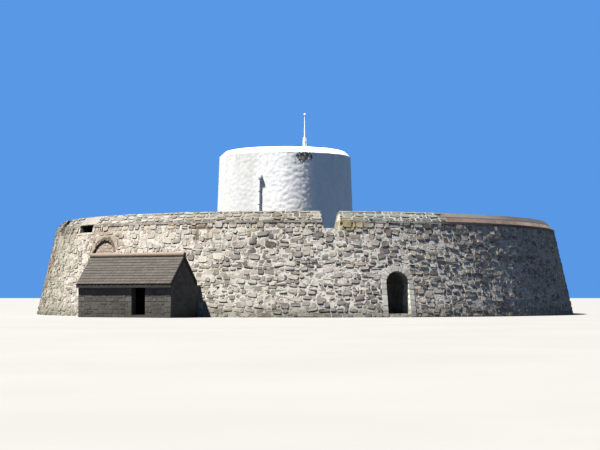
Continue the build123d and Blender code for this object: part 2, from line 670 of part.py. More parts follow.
with BuildPart() as house_front:
    house_profile(FRONT_WALL_OUTLINE, HOUSE_LEFT + HOUSE_WALL, INNER_LENGTH)
    front_doorway(HOUSE_DOOR_WIDTH, HOUSE_FLOOR, HOUSE_DOOR_HEAD)
    front_doorway(LINTEL_LENGTH, HOUSE_DOOR_HEAD, HOUSE_DOOR_HEAD + HOUSE_WALL * PITCH_RISE)
house_front.part.label = "guardhouse_front_wall"
export_step(house_front.part, "parts/guardhouse_front_wall.step")

with BuildPart() as house_lintel:
    house_profile(FRONT_WALL_OUTLINE, HOUSE_LEFT + HOUSE_WALL, INNER_LENGTH)
    front_doorway(LINTEL_LENGTH, HOUSE_DOOR_HEAD, HOUSE_DOOR_HEAD + HOUSE_WALL * PITCH_RISE, Mode.INTERSECT)
house_lintel.part.label = "guardhouse_lintel"
export_step(house_lintel.part, "parts/guardhouse_lintel.step")

with BuildPart() as house_rear:
    house_profile(REAR_WALL_OUTLINE, HOUSE_LEFT + HOUSE_WALL, INNER_LENGTH)
    clear_of_battery()
house_rear.part.label = "guardhouse_rear_wall"
export_step(house_rear.part, "parts/guardhouse_rear_wall.step")

for name, start in (("left", HOUSE_LEFT), ("right", HOUSE_RIGHT - HOUSE_WALL)):
    with BuildPart() as gable:
        house_profile(GABLE_OUTLINE, start, HOUSE_WALL)
        clear_of_battery()
    gable.part.label = f"guardhouse_{name}_gable"
    export_step(gable.part, f"parts/guardhouse_{name}_gable.step")

with BuildPart() as house_floor:
    with BuildSketch(ground_plane(HOUSE_BEARING, BATTERY_BASE_R)):
        with Locations((HOUSE_SHIFT, -HOUSE_DEPTH / 2)):
            Rectangle(INNER_LENGTH, HOUSE_DEPTH - 2 * HOUSE_WALL)
    extrude(amount=HOUSE_FLOOR)
house_floor.part.label = "guardhouse_floor"
export_step(house_floor.part, "parts/guardhouse_floor.step")

for name, outline in (("front", FRONT_ROOF_OUTLINE), ("rear", REAR_ROOF_OUTLINE)):
    with BuildPart() as roof:
        house_profile(outline, HOUSE_LEFT - VERGE_OVERHANG, ROOF_LENGTH)
    roof.part.label = f"guardhouse_{name}_roof"
    export_step(roof.part, f"parts/guardhouse_{name}_roof.step")

# Half-round ridge, bedded on both slopes of the roof
with BuildPart() as house_ridge:
    with BuildSketch(house_section(HOUSE_LEFT - VERGE_OVERHANG)):
        with Locations((-HOUSE_DEPTH / 2, RIDGE_UNDERSIDE + ROOF_UPRIGHT)):
            Circle(RIDGE_RADIUS)
        with BuildLine():
            Polyline(
                (-HOUSE_DEPTH / 2, RIDGE_UNDERSIDE + ROOF_UPRIGHT),
                (-HOUSE_DEPTH, RIDGE_UNDERSIDE + ROOF_UPRIGHT - HOUSE_DEPTH / 2 * PITCH_RISE),
                (0, RIDGE_UNDERSIDE + ROOF_UPRIGHT - HOUSE_DEPTH / 2 * PITCH_RISE),
                close=True,
            )
        make_face(mode=Mode.SUBTRACT)
    extrude(amount=ROOF_LENGTH)
house_ridge.part.label = "guardhouse_ridge"
export_step(house_ridge.part, "parts/guardhouse_ridge.step")
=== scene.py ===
# %% [markdown]
# # A white tower inside a round granite battery
#
# The fort is a limewashed martello tower that stands inside a low, round battery of granite
# rubble, with a small slate-roofed guardhouse at the battery's foot. The solids come from
# the CAD model. This file dresses them: it lays the stones, slabs, flags and slates, gives
# every surface its finish, and sets up a plain studio round the fort.
#
# Everything is in metres. Z is up, and -Y is the landward side, where the camera stands.

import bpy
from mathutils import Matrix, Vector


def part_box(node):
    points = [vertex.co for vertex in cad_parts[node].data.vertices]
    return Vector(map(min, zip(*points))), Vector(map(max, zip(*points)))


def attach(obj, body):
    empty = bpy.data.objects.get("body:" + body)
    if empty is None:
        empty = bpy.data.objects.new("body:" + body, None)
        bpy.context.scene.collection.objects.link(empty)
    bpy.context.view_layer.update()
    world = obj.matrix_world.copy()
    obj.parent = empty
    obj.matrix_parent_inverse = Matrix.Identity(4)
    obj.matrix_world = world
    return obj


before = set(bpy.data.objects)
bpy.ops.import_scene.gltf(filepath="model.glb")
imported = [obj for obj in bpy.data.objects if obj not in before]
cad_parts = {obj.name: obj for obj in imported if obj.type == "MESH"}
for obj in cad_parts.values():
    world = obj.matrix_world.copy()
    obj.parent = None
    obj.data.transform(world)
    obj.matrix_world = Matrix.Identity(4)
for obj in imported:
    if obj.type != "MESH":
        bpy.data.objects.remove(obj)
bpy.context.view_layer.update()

# %% Blender and the sums this file uses
from collections import namedtuple
from math import atan2, cos, degrees, pi, radians, sin, sqrt, tan
from random import Random

import bmesh
import bpy
from mathutils import Matrix, Vector, noise

# %% [markdown]
# ## Sizes from the frame
#
# The boxes of the CAD nodes give the driving sizes, so a change in the CAD model moves the
# stones too. A bearing is an angle in plan: 0 looks at -Y, and it grows towards +X. The few
# sizes that no box gives, such as where a gateway stands or how far a wall leans in, repeat
# the CAD model's own values.

# %% Sizes of the battery
BATTER, SLOPE_BREADTH, TOP_BREADTH, NOSE_HIGH = 1.26, 0.49, 1.45, 0.15
BACK_FALL, NOSE = 0.06, 0.045
FOOT_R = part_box("rampart_1")[1].x
WALK_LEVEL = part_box("rampart_1")[1].z
YARD_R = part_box("courtyard_floor")[1].x
YARD_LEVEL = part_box("courtyard_floor")[1].z
COPING_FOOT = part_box("coping_1")[0].z
CREST_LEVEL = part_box("coping_1")[1].z
LIP_LEVEL = COPING_FOOT + NOSE_HIGH
LIP_R = FOOT_R - BATTER
CREST_R = LIP_R - SLOPE_BREADTH
PARAPET_R = CREST_R - TOP_BREADTH
SCARP_LEAN = atan2(BATTER, LIP_LEVEL)
print(f"battery {2 * FOOT_R:.1f} m across, its face leans {degrees(SCARP_LEAN):.1f} degrees")

# %% Sizes of the tower
TOWER_BATTER, TOWER_SLOPE_BREADTH, TOWER_TOP_BREADTH, TOWER_SLOPE_HIGH = 0.39, 0.42, 0.85, 0.38
TOWER_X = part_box("tower_wall_1")[0].x
TOWER_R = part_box("tower_wall_1")[1].x - TOWER_X
TOWER_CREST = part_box("tower_parapet_1")[1].z
TOWER_LIP = TOWER_CREST - TOWER_SLOPE_HIGH
TOWER_LIP_R = TOWER_R - TOWER_BATTER
TOWER_CREST_R = TOWER_LIP_R - TOWER_SLOPE_BREADTH
TOWER_PLATFORM_R = TOWER_CREST_R - TOWER_TOP_BREADTH
DECK_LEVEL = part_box("tower_deck")[1].z
TOWER_LEAN = atan2(TOWER_BATTER, TOWER_LIP)
print(f"tower {2 * TOWER_R:.1f} m across, {TOWER_CREST:.1f} m high, leans {degrees(TOWER_LEAN):.1f} degrees")

# %% Openings in the walls
GATE_BEARING = 18.3
GATE_HALF, GATE_SPRING, GATE_RING = 0.7, 1.95, 0.32
EMBRASURE_BEARINGS = (6, -66, -99, -174, 156, 112)
EMBRASURE_SILL = WALK_LEVEL + 0.49
LOOPHOLE_BEARING = -52
LOOPHOLE_HALF, LOOPHOLE_SILL, LOOPHOLE_HEAD = 0.85, WALK_LEVEL + 0.55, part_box("loophole_lintel")[0].z
LINTEL_HALF = LOOPHOLE_HALF + 0.25
ARCH_BEARING = -44.1
ARCH_HALF, ARCH_RING = 1.1, 0.3
ARCH_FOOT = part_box("walled_arch_surround")[0].z
ARCH_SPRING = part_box("walled_arch_surround")[1].z - ARCH_HALF - ARCH_RING
DOOR_HALF, DOOR_SPRING, DOOR_RING = 0.55, 1.85, 0.28
COPING_JOINT_BEARING, SLABS_END_BEARING = 30.5, 149
PIPE_BEARING = -19.5
print(len(EMBRASURE_BEARINGS), "embrasures, the gateway at bearing", GATE_BEARING)

# %% Sizes of the guardhouse
HOUSE_BEARING = -25
HOUSE_LEFT, HOUSE_RIGHT = -4.3, 1.95
HOUSE_DEPTH, HOUSE_EAVES, HOUSE_PITCH = 2.8, 1.85, 47
ROOF_THICKNESS, EAVES_OVERHANG, VERGE_OVERHANG = 0.15, 0.14, 0.07
HOUSE_DOOR_AT, HOUSE_DOOR_HALF, HOUSE_DOOR_HEAD = -0.2, 0.45, 1.85
PITCH_RISE = tan(radians(HOUSE_PITCH))
ROOF_UPRIGHT = ROOF_THICKNESS / cos(radians(HOUSE_PITCH))
RIDGE_LEVEL = HOUSE_EAVES + HOUSE_DEPTH / 2 * PITCH_RISE + ROOF_UPRIGHT
print(f"the guardhouse's ridge is {RIDGE_LEVEL:.2f} m up")

# %% [markdown]
# ## A short way to write node trees
#
# A node tree is a sum written as boxes and wires. `Nodes` lets this file write one line for
# each box: its settings, what feeds it, and which output is wanted. It works the same for
# Geometry Nodes and for materials. It only picks sockets that are switched on, because some
# nodes carry several sockets of one name and hide the ones their settings don't use.

# %% Helper for node trees
def pick(sockets, key):
    """A socket that is switched on, by its name or by its place among those."""
    live = [socket for socket in sockets if socket.enabled]
    return live[key] if isinstance(key, int) else next(s for s in live if s.name == key)


class Nodes:
    """Adds nodes to one tree and wires them up."""

    def __init__(self, tree):
        self.tree = tree

    def add(self, kind, inputs=None, **settings):
        """One node: settings are its own options, inputs are values or sockets that feed it."""
        node = self.tree.nodes.new(kind)
        for name, value in settings.items():
            setattr(node, name, value)
        for key, value in (inputs or {}).items():
            self.feed(node, key, value)
        return node

    def feed(self, node, key, value):
        """Wires a socket to an input, or sets the input's own value."""
        socket = pick(node.inputs, key)
        if isinstance(value, bpy.types.NodeSocket):
            self.tree.links.new(value, socket)
        else:
            socket.default_value = value

    def get(self, kind, inputs=None, output=0, **settings):
        """One node, of which only one output is wanted."""
        return pick(self.add(kind, inputs, **settings).outputs, output)

    def math(self, operation, *values):
        return self.get("ShaderNodeMath", dict(enumerate(values)), operation=operation)

    def vector(self, operation, *values, output=0):
        return self.get("ShaderNodeVectorMath", dict(enumerate(values)), output, operation=operation)

    def split(self, vector):
        """The X, Y and Z of a vector."""
        return self.add("ShaderNodeSeparateXYZ", {0: vector}).outputs

    def join(self, x, y, z):
        return self.get("ShaderNodeCombineXYZ", {0: x, 1: y, 2: z})

    def step(self, value, low, high):
        """0 below low, 1 above high and a soft ramp between; low may be above high."""
        limits = {"Value": value, "From Min": low, "From Max": high}
        return self.get("ShaderNodeMapRange", limits, interpolation_type="SMOOTHSTEP")

    def mix(self, factor, first, second, blend="MIX"):
        """Mixes two colours."""
        return self.get(
            "ShaderNodeMix", {"Factor": factor, "A": first, "B": second}, data_type="RGBA", blend_type=blend
        )

    def plus(self, first, second):
        return self.math("ADD", first, second)

    def minus(self, first, second):
        return self.math("SUBTRACT", first, second)

    def times_plus(self, value, factor, extra):
        return self.math("MULTIPLY_ADD", value, factor, extra)

    def times(self, *values):
        """The product of several values."""
        product = values[0]
        for value in values[1:]:
            product = self.math("MULTIPLY", product, value)
        return product

    def band(self, value, comes, goes):
        """1 between two soft ramps: where it comes in, and where it goes again."""
        return self.times(self.step(value, *comes), self.step(value, *goes))

    def lay(self, base, shade, mask, strength=1.0, blend="MIX"):
        """Lays a shade over a base colour where a mask is 1, at a given strength."""
        return self.mix(self.math("MULTIPLY", mask, strength), base, shade, blend)

    def move(self, geometry, position):
        """Puts the points of a mesh at new places."""
        return self.get("GeometryNodeSetPosition", {"Geometry": geometry, "Position": position})

    def ramp(self, value, *stops):
        """Colour ramp with stops of a place and a colour."""
        node = self.add("ShaderNodeValToRGB", {0: value})
        elements = node.color_ramp.elements
        while len(elements) < len(stops):
            elements.new(0.5)
        for element, (place, colour) in zip(elements, stops):
            element.position = place
            element.color = colour
        return node.outputs[0]

    def noise(self, point, size, detail=3, roughness=0.55, output=0):
        """Noise whose blotches are about size metres across."""
        settings = {"Vector": point, "Scale": 1 / size, "Detail": detail, "Roughness": roughness}
        return self.get("ShaderNodeTexNoise", settings, output)

    def group(self, group, **inputs):
        """The outputs of a group that is placed in this tree."""
        kind = group.bl_idname.replace("Tree", "Group")
        node = self.add(kind, node_tree=group)
        for name, value in inputs.items():
            self.feed(node, name.replace("_", " ").title(), value)
        return node.outputs


def new_group(name, kind, inputs, outputs):
    """An empty group with named sockets: its nodes, what comes in, and its output node."""
    tree = bpy.data.node_groups.new(name, kind)
    for label, socket_kind, value in inputs:
        socket = tree.interface.new_socket(label, in_out="INPUT", socket_type="NodeSocket" + socket_kind)
        if value is not None:
            socket.default_value = value
    for label, socket_kind in outputs:
        tree.interface.new_socket(label, in_out="OUTPUT", socket_type="NodeSocket" + socket_kind)
    nodes = Nodes(tree)
    return nodes, nodes.add("NodeGroupInput").outputs, nodes.add("NodeGroupOutput")


def colour(red, green, blue):
    return (red, green, blue, 1)


# %% [markdown]
# ## Finishes: effects that many materials share
#
# Weather doesn't stop at the edge of a piece. Rain runs from the coping over stone and mortar
# alike, and damp climbs from the ground. So each of these effects is one shader group, and
# every material of the battery uses the same ones: a streak then crosses the joint between
# two pieces as it does on the real wall. They read Object coordinates. Every piece sits at
# the origin, so those are places on the fort itself.
#
# `Wall place` turns a point into a bearing, a height and a distance from an axis. Painted
# UV maps could do this too, but a sum needs no map and fits every piece.

# %% Group: where a point is on a round wall
def wall_place_group():
    nodes, given, result = new_group(
        "Wall place",
        "ShaderNodeTree",
        [("Axis X", "Float", 0.0)],
        [("Point", "Vector"), ("Bearing", "Float"), ("Height", "Float"), ("Radius", "Float")],
    )
    point = nodes.get("ShaderNodeTexCoord", output="Object")
    x, y, z = nodes.split(point)
    across = nodes.minus(x, given["Axis X"])
    turn = nodes.math("ARCTAN2", across, nodes.times(y, -1.0))
    squares = nodes.plus(nodes.math("POWER", across, 2.0), nodes.math("POWER", y, 2.0))
    nodes.feed(result, "Point", point)
    nodes.feed(result, "Bearing", nodes.math("DEGREES", turn))
    nodes.feed(result, "Height", z)
    nodes.feed(result, "Radius", nodes.math("SQRT", squares))
    return nodes.tree


wall_place = wall_place_group()

# %% [markdown]
# A stain has a place, a size and a ragged edge. Rain streaks are noise that is stretched
# downwards, strongest just below the ledge that sheds the water. Lichen grows in round
# colonies, so it is noise cut off at a level, broken up by finer noise.

# %% Groups: stain, rain streaks, lichen, granite grain and the throat
def stain_group():
    nodes, given, result = new_group(
        "Stain",
        "ShaderNodeTree",
        [
            ("Place", "Vector", (0, 0, 0)),
            ("Bearing", "Float", 0.0),
            ("Height", "Float", 0.0),
            ("At Bearing", "Float", 0.0),
            ("At Height", "Float", 0.0),
            ("Half Width", "Float", 1.0),
            ("Half Height", "Float", 1.0),
            ("Ragged", "Float", 0.5),
        ],
        [("Mask", "Float")],
    )
    aside = nodes.minus(given["Bearing"], given["At Bearing"])
    above = nodes.minus(given["Height"], given["At Height"])
    across = nodes.math("DIVIDE", aside, given["Half Width"])
    up = nodes.math("DIVIDE", above, given["Half Height"])
    squares = nodes.plus(nodes.math("POWER", across, 2.0), nodes.math("POWER", up, 2.0))
    edge = nodes.minus(nodes.noise(given["Place"], 0.35, 5, 0.65), 0.5)
    ragged = nodes.times(given["Ragged"], 4.0)
    reach = nodes.times_plus(edge, ragged, nodes.math("SQRT", squares))
    nodes.feed(result, "Mask", nodes.step(reach, 1.15, 0.6))
    return nodes.tree


def rain_streak_group():
    nodes, given, result = new_group(
        "Rain streaks",
        "ShaderNodeTree",
        [
            ("Bearing", "Float", 0.0),
            ("Height", "Float", 0.0),
            ("From Height", "Float", 5.5),
            ("Run", "Float", 2.5),
            ("Streak Width", "Float", 1.0),
        ],
        [("Mask", "Float")],
    )
    across = nodes.math("DIVIDE", given["Bearing"], given["Streak Width"])
    thread = nodes.join(across, nodes.times(given["Height"], 0.22), 0.0)
    streak = nodes.step(nodes.noise(thread, 1.0, 4, 0.6), 0.5, 0.68)
    below = nodes.minus(given["From Height"], given["Height"])
    fade = nodes.step(nodes.math("DIVIDE", below, given["Run"]), 1.0, 0.0)
    started = nodes.step(below, -0.02, 0.03)
    nodes.feed(result, "Mask", nodes.times(streak, fade, started))
    return nodes.tree


def lichen_group():
    nodes, given, result = new_group(
        "Lichen",
        "ShaderNodeTree",
        [("Place", "Vector", (0, 0, 0)), ("Colony", "Float", 0.5), ("Cover", "Float", 0.3)],
        [("Mask", "Float")],
    )
    wide = nodes.get(
        "ShaderNodeTexNoise",
        {"Vector": given["Place"], "Scale": nodes.math("DIVIDE", 1.0, given["Colony"]), "Detail": 2.0},
    )
    fine = nodes.noise(given["Place"], 0.045, 4, 0.7)
    level = nodes.times_plus(fine, 0.55, wide)
    gate = nodes.minus(1.02, nodes.times(given["Cover"], 0.5))
    nodes.feed(result, "Mask", nodes.step(nodes.minus(level, gate), -0.03, 0.06))
    return nodes.tree


def granite_grain_group():
    nodes, given, result = new_group(
        "Granite grain",
        "ShaderNodeTree",
        [("Place", "Vector", (0, 0, 0)), ("Grain", "Float", 0.02), ("Contrast", "Float", 0.3)],
        [("Tone", "Color"), ("Height", "Float")],
    )
    scale = nodes.math("DIVIDE", 1.0, given["Grain"])
    crystals = nodes.get("ShaderNodeTexVoronoi", {"Vector": given["Place"], "Scale": scale}, "Color")
    speckle = nodes.split(crystals)[0]
    broad = nodes.noise(given["Place"], 0.16, 5, 0.62)
    level = nodes.plus(nodes.times(speckle, 0.35), nodes.times(broad, 0.65))
    shade = nodes.times_plus(nodes.minus(level, 0.5), given["Contrast"], 1.0)
    nodes.feed(result, "Tone", nodes.join(shade, shade, shade))
    nodes.feed(result, "Height", nodes.times_plus(broad, 0.8, nodes.times(speckle, 0.2)))
    return nodes.tree


THROAT_HALF_BEARING = 3.7


def throat_group():
    """1 in the loophole's throat, whose sides are painted black as painted shade."""
    nodes, given, result = new_group("Loophole throat", "ShaderNodeTree", [], [("Mask", "Float")])
    _, bearing, height, radius = nodes.group(wall_place)
    aside = nodes.math("ABSOLUTE", nodes.minus(bearing, LOOPHOLE_BEARING))
    mask = nodes.math("LESS_THAN", aside, THROAT_HALF_BEARING)
    for value, low, high in (
        (radius, LIP_R - 0.02, LIP_R - 0.12),
        (radius, PARAPET_R + 0.05, PARAPET_R + 0.3),
        (height, LOOPHOLE_SILL - 0.05, LOOPHOLE_SILL - 0.03),
        (height, LOOPHOLE_HEAD + 0.05, LOOPHOLE_HEAD + 0.03),
    ):
        mask = nodes.times(mask, nodes.step(value, low, high))
    nodes.feed(result, "Mask", nodes.times(mask, 0.95))
    return nodes.tree


throat = throat_group()
stain = stain_group()
rain_streaks = rain_streak_group()
lichen = lichen_group()
granite_grain = granite_grain_group()
print(len(bpy.data.node_groups), "shader groups")

# %% [markdown]
# `Battery weather` lays those effects over any colour of the battery: grey runs below the
# coping, cream and ochre lichen high up, brown iron stains at the places where the real wall
# has them, and green-brown damp at the foot. The left of the wall is creamier than the right,
# because the salt wind leaves the two sides with different growth. From the middle to the
# right, painted light lightens the wall. The far left stands in full sun and is toned down so
# that its stones keep their colour. Painted shade darkens the inner faces and the cheeks of
# the embrasures. What depends on the bearing fades out again at the back, so that no upright
# edge shows where the bearings meet.

# %% Where the battery's weather lies
# Bearings in degrees: the pair over which an effect comes in, and the pair over which it goes
AT_THE_BACK = (-178.0, -120.0)
WARM_LEFT = ((0.0, -40.0), AT_THE_BACK)
SUNLIT_FAR_LEFT = ((-46.0, -66.0), AT_THE_BACK)
# Painted light: the wall is lightened from the middle to the right
PAINTED_LIGHT_RIGHT = ((-10.0, 12.0), (58.0, 46.0))

Mark = namedtuple("Mark", "bearing height half_width half_height shade strength ragged")
BATTERY_MARKS = {
    "iron run": Mark(-20.0, 5.26, 3.0, 0.13, colour(0.17, 0.095, 0.06), 0.85, 0.5),
    "iron drip": Mark(-20.6, 4.75, 0.55, 0.55, colour(0.19, 0.12, 0.08), 0.75, 0.5),
    "second iron drip": Mark(-18.3, 4.9, 0.4, 0.4, colour(0.22, 0.15, 0.10), 0.6, 0.5),
    "left run": Mark(-70.0, 3.6, 1.7, 1.0, colour(0.17, 0.10, 0.07), 0.7, 1.0),
    "second left run": Mark(-72.4, 3.0, 1.8, 1.6, colour(0.16, 0.09, 0.06), 0.75, 1.0),
    "third left run": Mark(-74.6, 2.7, 1.4, 1.0, colour(0.17, 0.10, 0.07), 0.6, 1.0),
    "stain round the walled arch": Mark(ARCH_BEARING, 4.5, 6.8, 1.1, colour(0.26, 0.18, 0.115), 0.62, 0.8),
    "lichen by the embrasure": Mark(9.5, 5.45, 3.2, 0.5, colour(0.62, 0.50, 0.20), 0.5, 0.5),
}
print(len(BATTERY_MARKS), "marks on the battery")


# %% Group: the battery's weather
def mark_mask(nodes, place, bearing, height, mark):
    """1 on a mark and 0 round it, with the mark's ragged edge."""
    return nodes.group(
        stain,
        place=place,
        bearing=bearing,
        height=height,
        at_bearing=mark.bearing,
        at_height=mark.height,
        half_width=mark.half_width,
        half_height=mark.half_height,
        ragged=mark.ragged,
    )["Mask"]


def battery_weather_group():
    nodes, given, result = new_group(
        "Battery weather",
        "ShaderNodeTree",
        [("Color", "Color", colour(0.6, 0.55, 0.48)), ("Growth", "Float", 1.0), ("Tone", "Float", 0.5)],
        [("Color", "Color"), ("Damp", "Float")],
    )
    growth = given["Growth"]
    point, bearing, height, radius = nodes.group(wall_place)

    # The two sides of the wall: painted light from the middle to the right, and the sunlit far left toned
    # down with painted shade
    base = nodes.mix(1.0, given["Color"], colour(1.08, 1.15, 1.24), "MULTIPLY")
    base = nodes.mix(nodes.band(bearing, *PAINTED_LIGHT_RIGHT), base, colour(1.26, 1.26, 1.28), "MULTIPLY")
    cream = nodes.times(nodes.band(bearing, *WARM_LEFT), growth)
    base = nodes.lay(base, colour(0.79, 0.71, 0.63), cream, 0.4)
    base = nodes.mix(nodes.band(bearing, *SUNLIT_FAR_LEFT), base, colour(0.50, 0.49, 0.43), "MULTIPLY")

    # Pale and dull patches, and grey runs below the coping
    pale = nodes.step(nodes.noise(point, 2.6, 4, 0.6), 0.5, 0.7)
    base = nodes.lay(base, colour(0.74, 0.70, 0.63), nodes.times(pale, growth), 0.25)
    dull = nodes.step(nodes.noise(point, 1.7, 4, 0.6), 0.52, 0.72)
    base = nodes.lay(base, colour(0.33, 0.30, 0.27), dull, 0.35)
    runs = nodes.group(
        rain_streaks, bearing=bearing, height=height, from_height=COPING_FOOT, run=2.6, streak_width=0.9
    )["Mask"]
    base = nodes.lay(base, colour(0.2, 0.185, 0.165), runs, 0.5)

    # Ochre lichen high up, more of it left of the middle, and grey lichen all over
    high = nodes.step(height, 3.0, 6.5)
    sunny = nodes.step(bearing, 45.0, 5.0)
    cover = nodes.times(high, nodes.times_plus(sunny, 0.3, 0.15))
    ochre = nodes.group(lichen, place=point, colony=0.4, cover=cover)["Mask"]
    base = nodes.lay(base, colour(0.55, 0.44, 0.20), nodes.times(ochre, growth), 0.6)
    elsewhere = nodes.vector("ADD", point, (31.0, 7.0, 3.0))
    grey = nodes.group(lichen, place=elsewhere, colony=0.7, cover=0.45)["Mask"]
    base = nodes.lay(base, colour(0.70, 0.70, 0.64), nodes.times(grey, growth), 0.4)

    for mark in BATTERY_MARKS.values():
        mask = mark_mask(nodes, point, bearing, height, mark)
        base = nodes.lay(base, mark.shade, mask, mark.strength)

    # Damp climbs from the ground to a wavy level
    wavy = nodes.times_plus(nodes.noise(point, 0.9, 4), 0.9, -0.35)
    damp = nodes.step(nodes.minus(height, wavy), 0.75, 0.1)
    base = nodes.lay(base, colour(0.16, 0.16, 0.105), damp, 0.55)

    # Painted shade: the inner faces and the cheeks of the embrasures are darkened
    inner = nodes.step(radius, CREST_R - 0.3, PARAPET_R + 0.1)
    behind_lip = nodes.step(radius, LIP_R - 0.06, LIP_R - 0.18)
    cheek = nodes.times(behind_lip, nodes.step(height, LIP_LEVEL, LIP_LEVEL - 0.06))
    painted_shade_inside = nodes.math("MAXIMUM", inner, cheek)
    base = nodes.mix(painted_shade_inside, base, colour(0.44, 0.46, 0.44), "MULTIPLY")

    tone = nodes.join(given["Tone"], given["Tone"], given["Tone"])
    nodes.feed(result, "Color", nodes.mix(1.0, base, tone, "MULTIPLY"))
    nodes.feed(result, "Damp", damp)
    return nodes.tree


battery_weather = battery_weather_group()
print("shared shader groups:", ", ".join(group.name for group in bpy.data.node_groups))

# %% [markdown]
# ## Materials
#
# Each finish is a Principled shader fed by the groups. The stones carry a random tint from
# 0 to 1, stored on them when they are laid, and a colour ramp turns it into the granite of
# one stone: most are buff or grey, some brown, a few nearly black. A tone then brings the
# whole wall, coping, roof or house to the brightness that it has in the photograph, because
# each of them meets the strong sun at another angle.

# %% Tones, and the granite of the rubble
WALL_TONE, ARCH_TONE, COPING_TONE, HOUSE_TONE, ROOF_TONE, RIDGE_TONE = 0.48, 0.24, 0.225, 0.12, 0.062, 0.1984
# The loophole's black throat is painted shade
PAINTED_THROAT_SHADE = colour(0.006, 0.006, 0.007)
RUBBLE_STOPS = (
    (0.0, colour(0.07, 0.058, 0.048)),
    (0.15, colour(0.14, 0.11, 0.09)),
    (0.36, colour(0.25, 0.205, 0.165)),
    (0.6, colour(0.40, 0.345, 0.28)),
    (0.82, colour(0.56, 0.49, 0.40)),
    (0.92, colour(0.42, 0.325, 0.25)),
    (1.0, colour(0.48, 0.395, 0.315)),
)


# %% Helpers for materials
def new_material(name):
    """A material with only its Principled shader wired to the output."""
    material = bpy.data.materials.new(name)
    material.use_nodes = True
    material.node_tree.nodes.clear()
    nodes = Nodes(material.node_tree)
    shader = nodes.add("ShaderNodeBsdfPrincipled")
    nodes.add("ShaderNodeOutputMaterial", {"Surface": shader.outputs[0]})
    return material, nodes, shader


def finish_with(nodes, shader, base, roughness, height, depth):
    """Feeds a Principled shader: its colour, its roughness and a bump that is depth metres deep."""
    nodes.feed(shader, "Base Color", base)
    nodes.feed(shader, "Roughness", roughness)
    nodes.feed(shader, "Normal", nodes.get("ShaderNodeBump", {"Distance": depth, "Height": height}))


def object_point(nodes):
    """The place on the fort that is being shaded."""
    return nodes.get("ShaderNodeTexCoord", output="Object")


def tint_of_stone(nodes):
    return nodes.get("ShaderNodeAttribute", output="Fac", attribute_name="tint")


def stone_material(name, stops, grain, contrast, growth=None, depth=0.012, tone=WALL_TONE):
    """Stone whose colour comes from the tint that each block carries. Growth brings the weather."""
    material, nodes, shader = new_material(name)
    base = nodes.ramp(tint_of_stone(nodes), *stops)
    speckle, height = nodes.group(granite_grain, place=object_point(nodes), grain=grain, contrast=contrast)
    base = nodes.mix(1.0, base, speckle, "MULTIPLY")
    roughness = nodes.times_plus(height, 0.15, 0.76)
    if growth is not None:
        weathered = nodes.group(battery_weather, color=base, growth=growth, tone=tone)
        base = weathered["Color"]
        roughness = nodes.times_plus(weathered["Damp"], -0.2, roughness)
    finish_with(nodes, shader, base, roughness, height, depth)
    return material


def mortar_material(name, tone):
    """Lime mortar with grit and pinnings, small stones that fill its wide joints."""
    material, nodes, shader = new_material(name)
    point = object_point(nodes)
    grit = nodes.noise(point, 0.035, 5, 0.7)
    lumps = nodes.noise(point, 0.3, 4)
    base = nodes.ramp(
        nodes.plus(nodes.times(grit, 0.5), nodes.times(lumps, 0.5)),
        (0.32, colour(0.50, 0.45, 0.37)),
        (0.5, colour(0.70, 0.64, 0.54)),
        (0.68, colour(0.82, 0.77, 0.68)),
    )
    wavy = nodes.vector("ADD", point, nodes.vector("SCALE", nodes.noise(point, 0.3, 2, output=1), 0.2))
    cells = {"Vector": wavy, "Scale": 4.4}
    pick_stone, pick_colour, _ = nodes.split(nodes.get("ShaderNodeTexVoronoi", cells, "Color"))
    gap = nodes.get("ShaderNodeTexVoronoi", cells, "Distance", feature="DISTANCE_TO_EDGE")
    pinning = nodes.times(nodes.step(gap, 0.06, 0.13), nodes.math("GREATER_THAN", pick_stone, 0.35))
    base = nodes.lay(base, nodes.ramp(pick_colour, *RUBBLE_STOPS), pinning, 0.92)
    base = nodes.group(battery_weather, color=base, growth=0.6, tone=tone)["Color"]
    # Painted shade blackens the loophole's throat
    base = nodes.mix(nodes.group(throat)["Mask"], base, PAINTED_THROAT_SHADE)
    height = nodes.times_plus(pinning, 0.8, nodes.plus(grit, lumps))
    finish_with(nodes, shader, base, 0.93, height, 0.02)
    return material


# %% Materials of the battery's stones, mortar and flags
DRESSED_STOPS = (
    (0.0, colour(0.46, 0.41, 0.35)),
    (0.5, colour(0.60, 0.55, 0.47)),
    (1.0, colour(0.70, 0.64, 0.55)),
)
BROWN_STOPS = (
    (0.0, colour(0.03, 0.022, 0.016)),
    (0.5, colour(0.08, 0.055, 0.04)),
    (1.0, colour(0.30, 0.22, 0.16)),
)
PAVING_STOPS = (
    (0.0, colour(0.065, 0.063, 0.057)),
    (0.5, colour(0.10, 0.097, 0.09)),
    (1.0, colour(0.145, 0.14, 0.128)),
)
battery_mortar = mortar_material("battery_mortar", WALL_TONE)
coping_mortar = mortar_material("coping_mortar", COPING_TONE)
rubble_granite = stone_material("rubble_granite", RUBBLE_STOPS, grain=0.014, contrast=0.55, growth=0.8)
arch_stone = stone_material("arch_stone", BROWN_STOPS, grain=0.016, contrast=0.5, growth=0.08, tone=ARCH_TONE)
DRESSED = {"grain": 0.012, "contrast": 0.45, "growth": 0.5}
dressed_granite = stone_material("dressed_granite", DRESSED_STOPS, **DRESSED)
lintel_granite = stone_material("lintel_granite", DRESSED_STOPS, tone=COPING_TONE, **DRESSED)
paving_granite = stone_material("paving_granite", PAVING_STOPS, grain=0.016, contrast=0.45)
print(len(bpy.data.materials), "materials so far")

# %% [markdown]
# The coping shows three finishes round the wall. To the right of an upright joint it is
# red-brown granite, lighter at the crest, with painted shade darkening its lower edge; further
# right painted shade makes the crest nearly black. Just left of that joint it is pink under a
# crust of pale green lichen, and further left it is the wall's own rubble, as light as the wall
# itself, on the left with the help of painted light. The slabs have one material and the rubble
# another, and both change with the bearing.

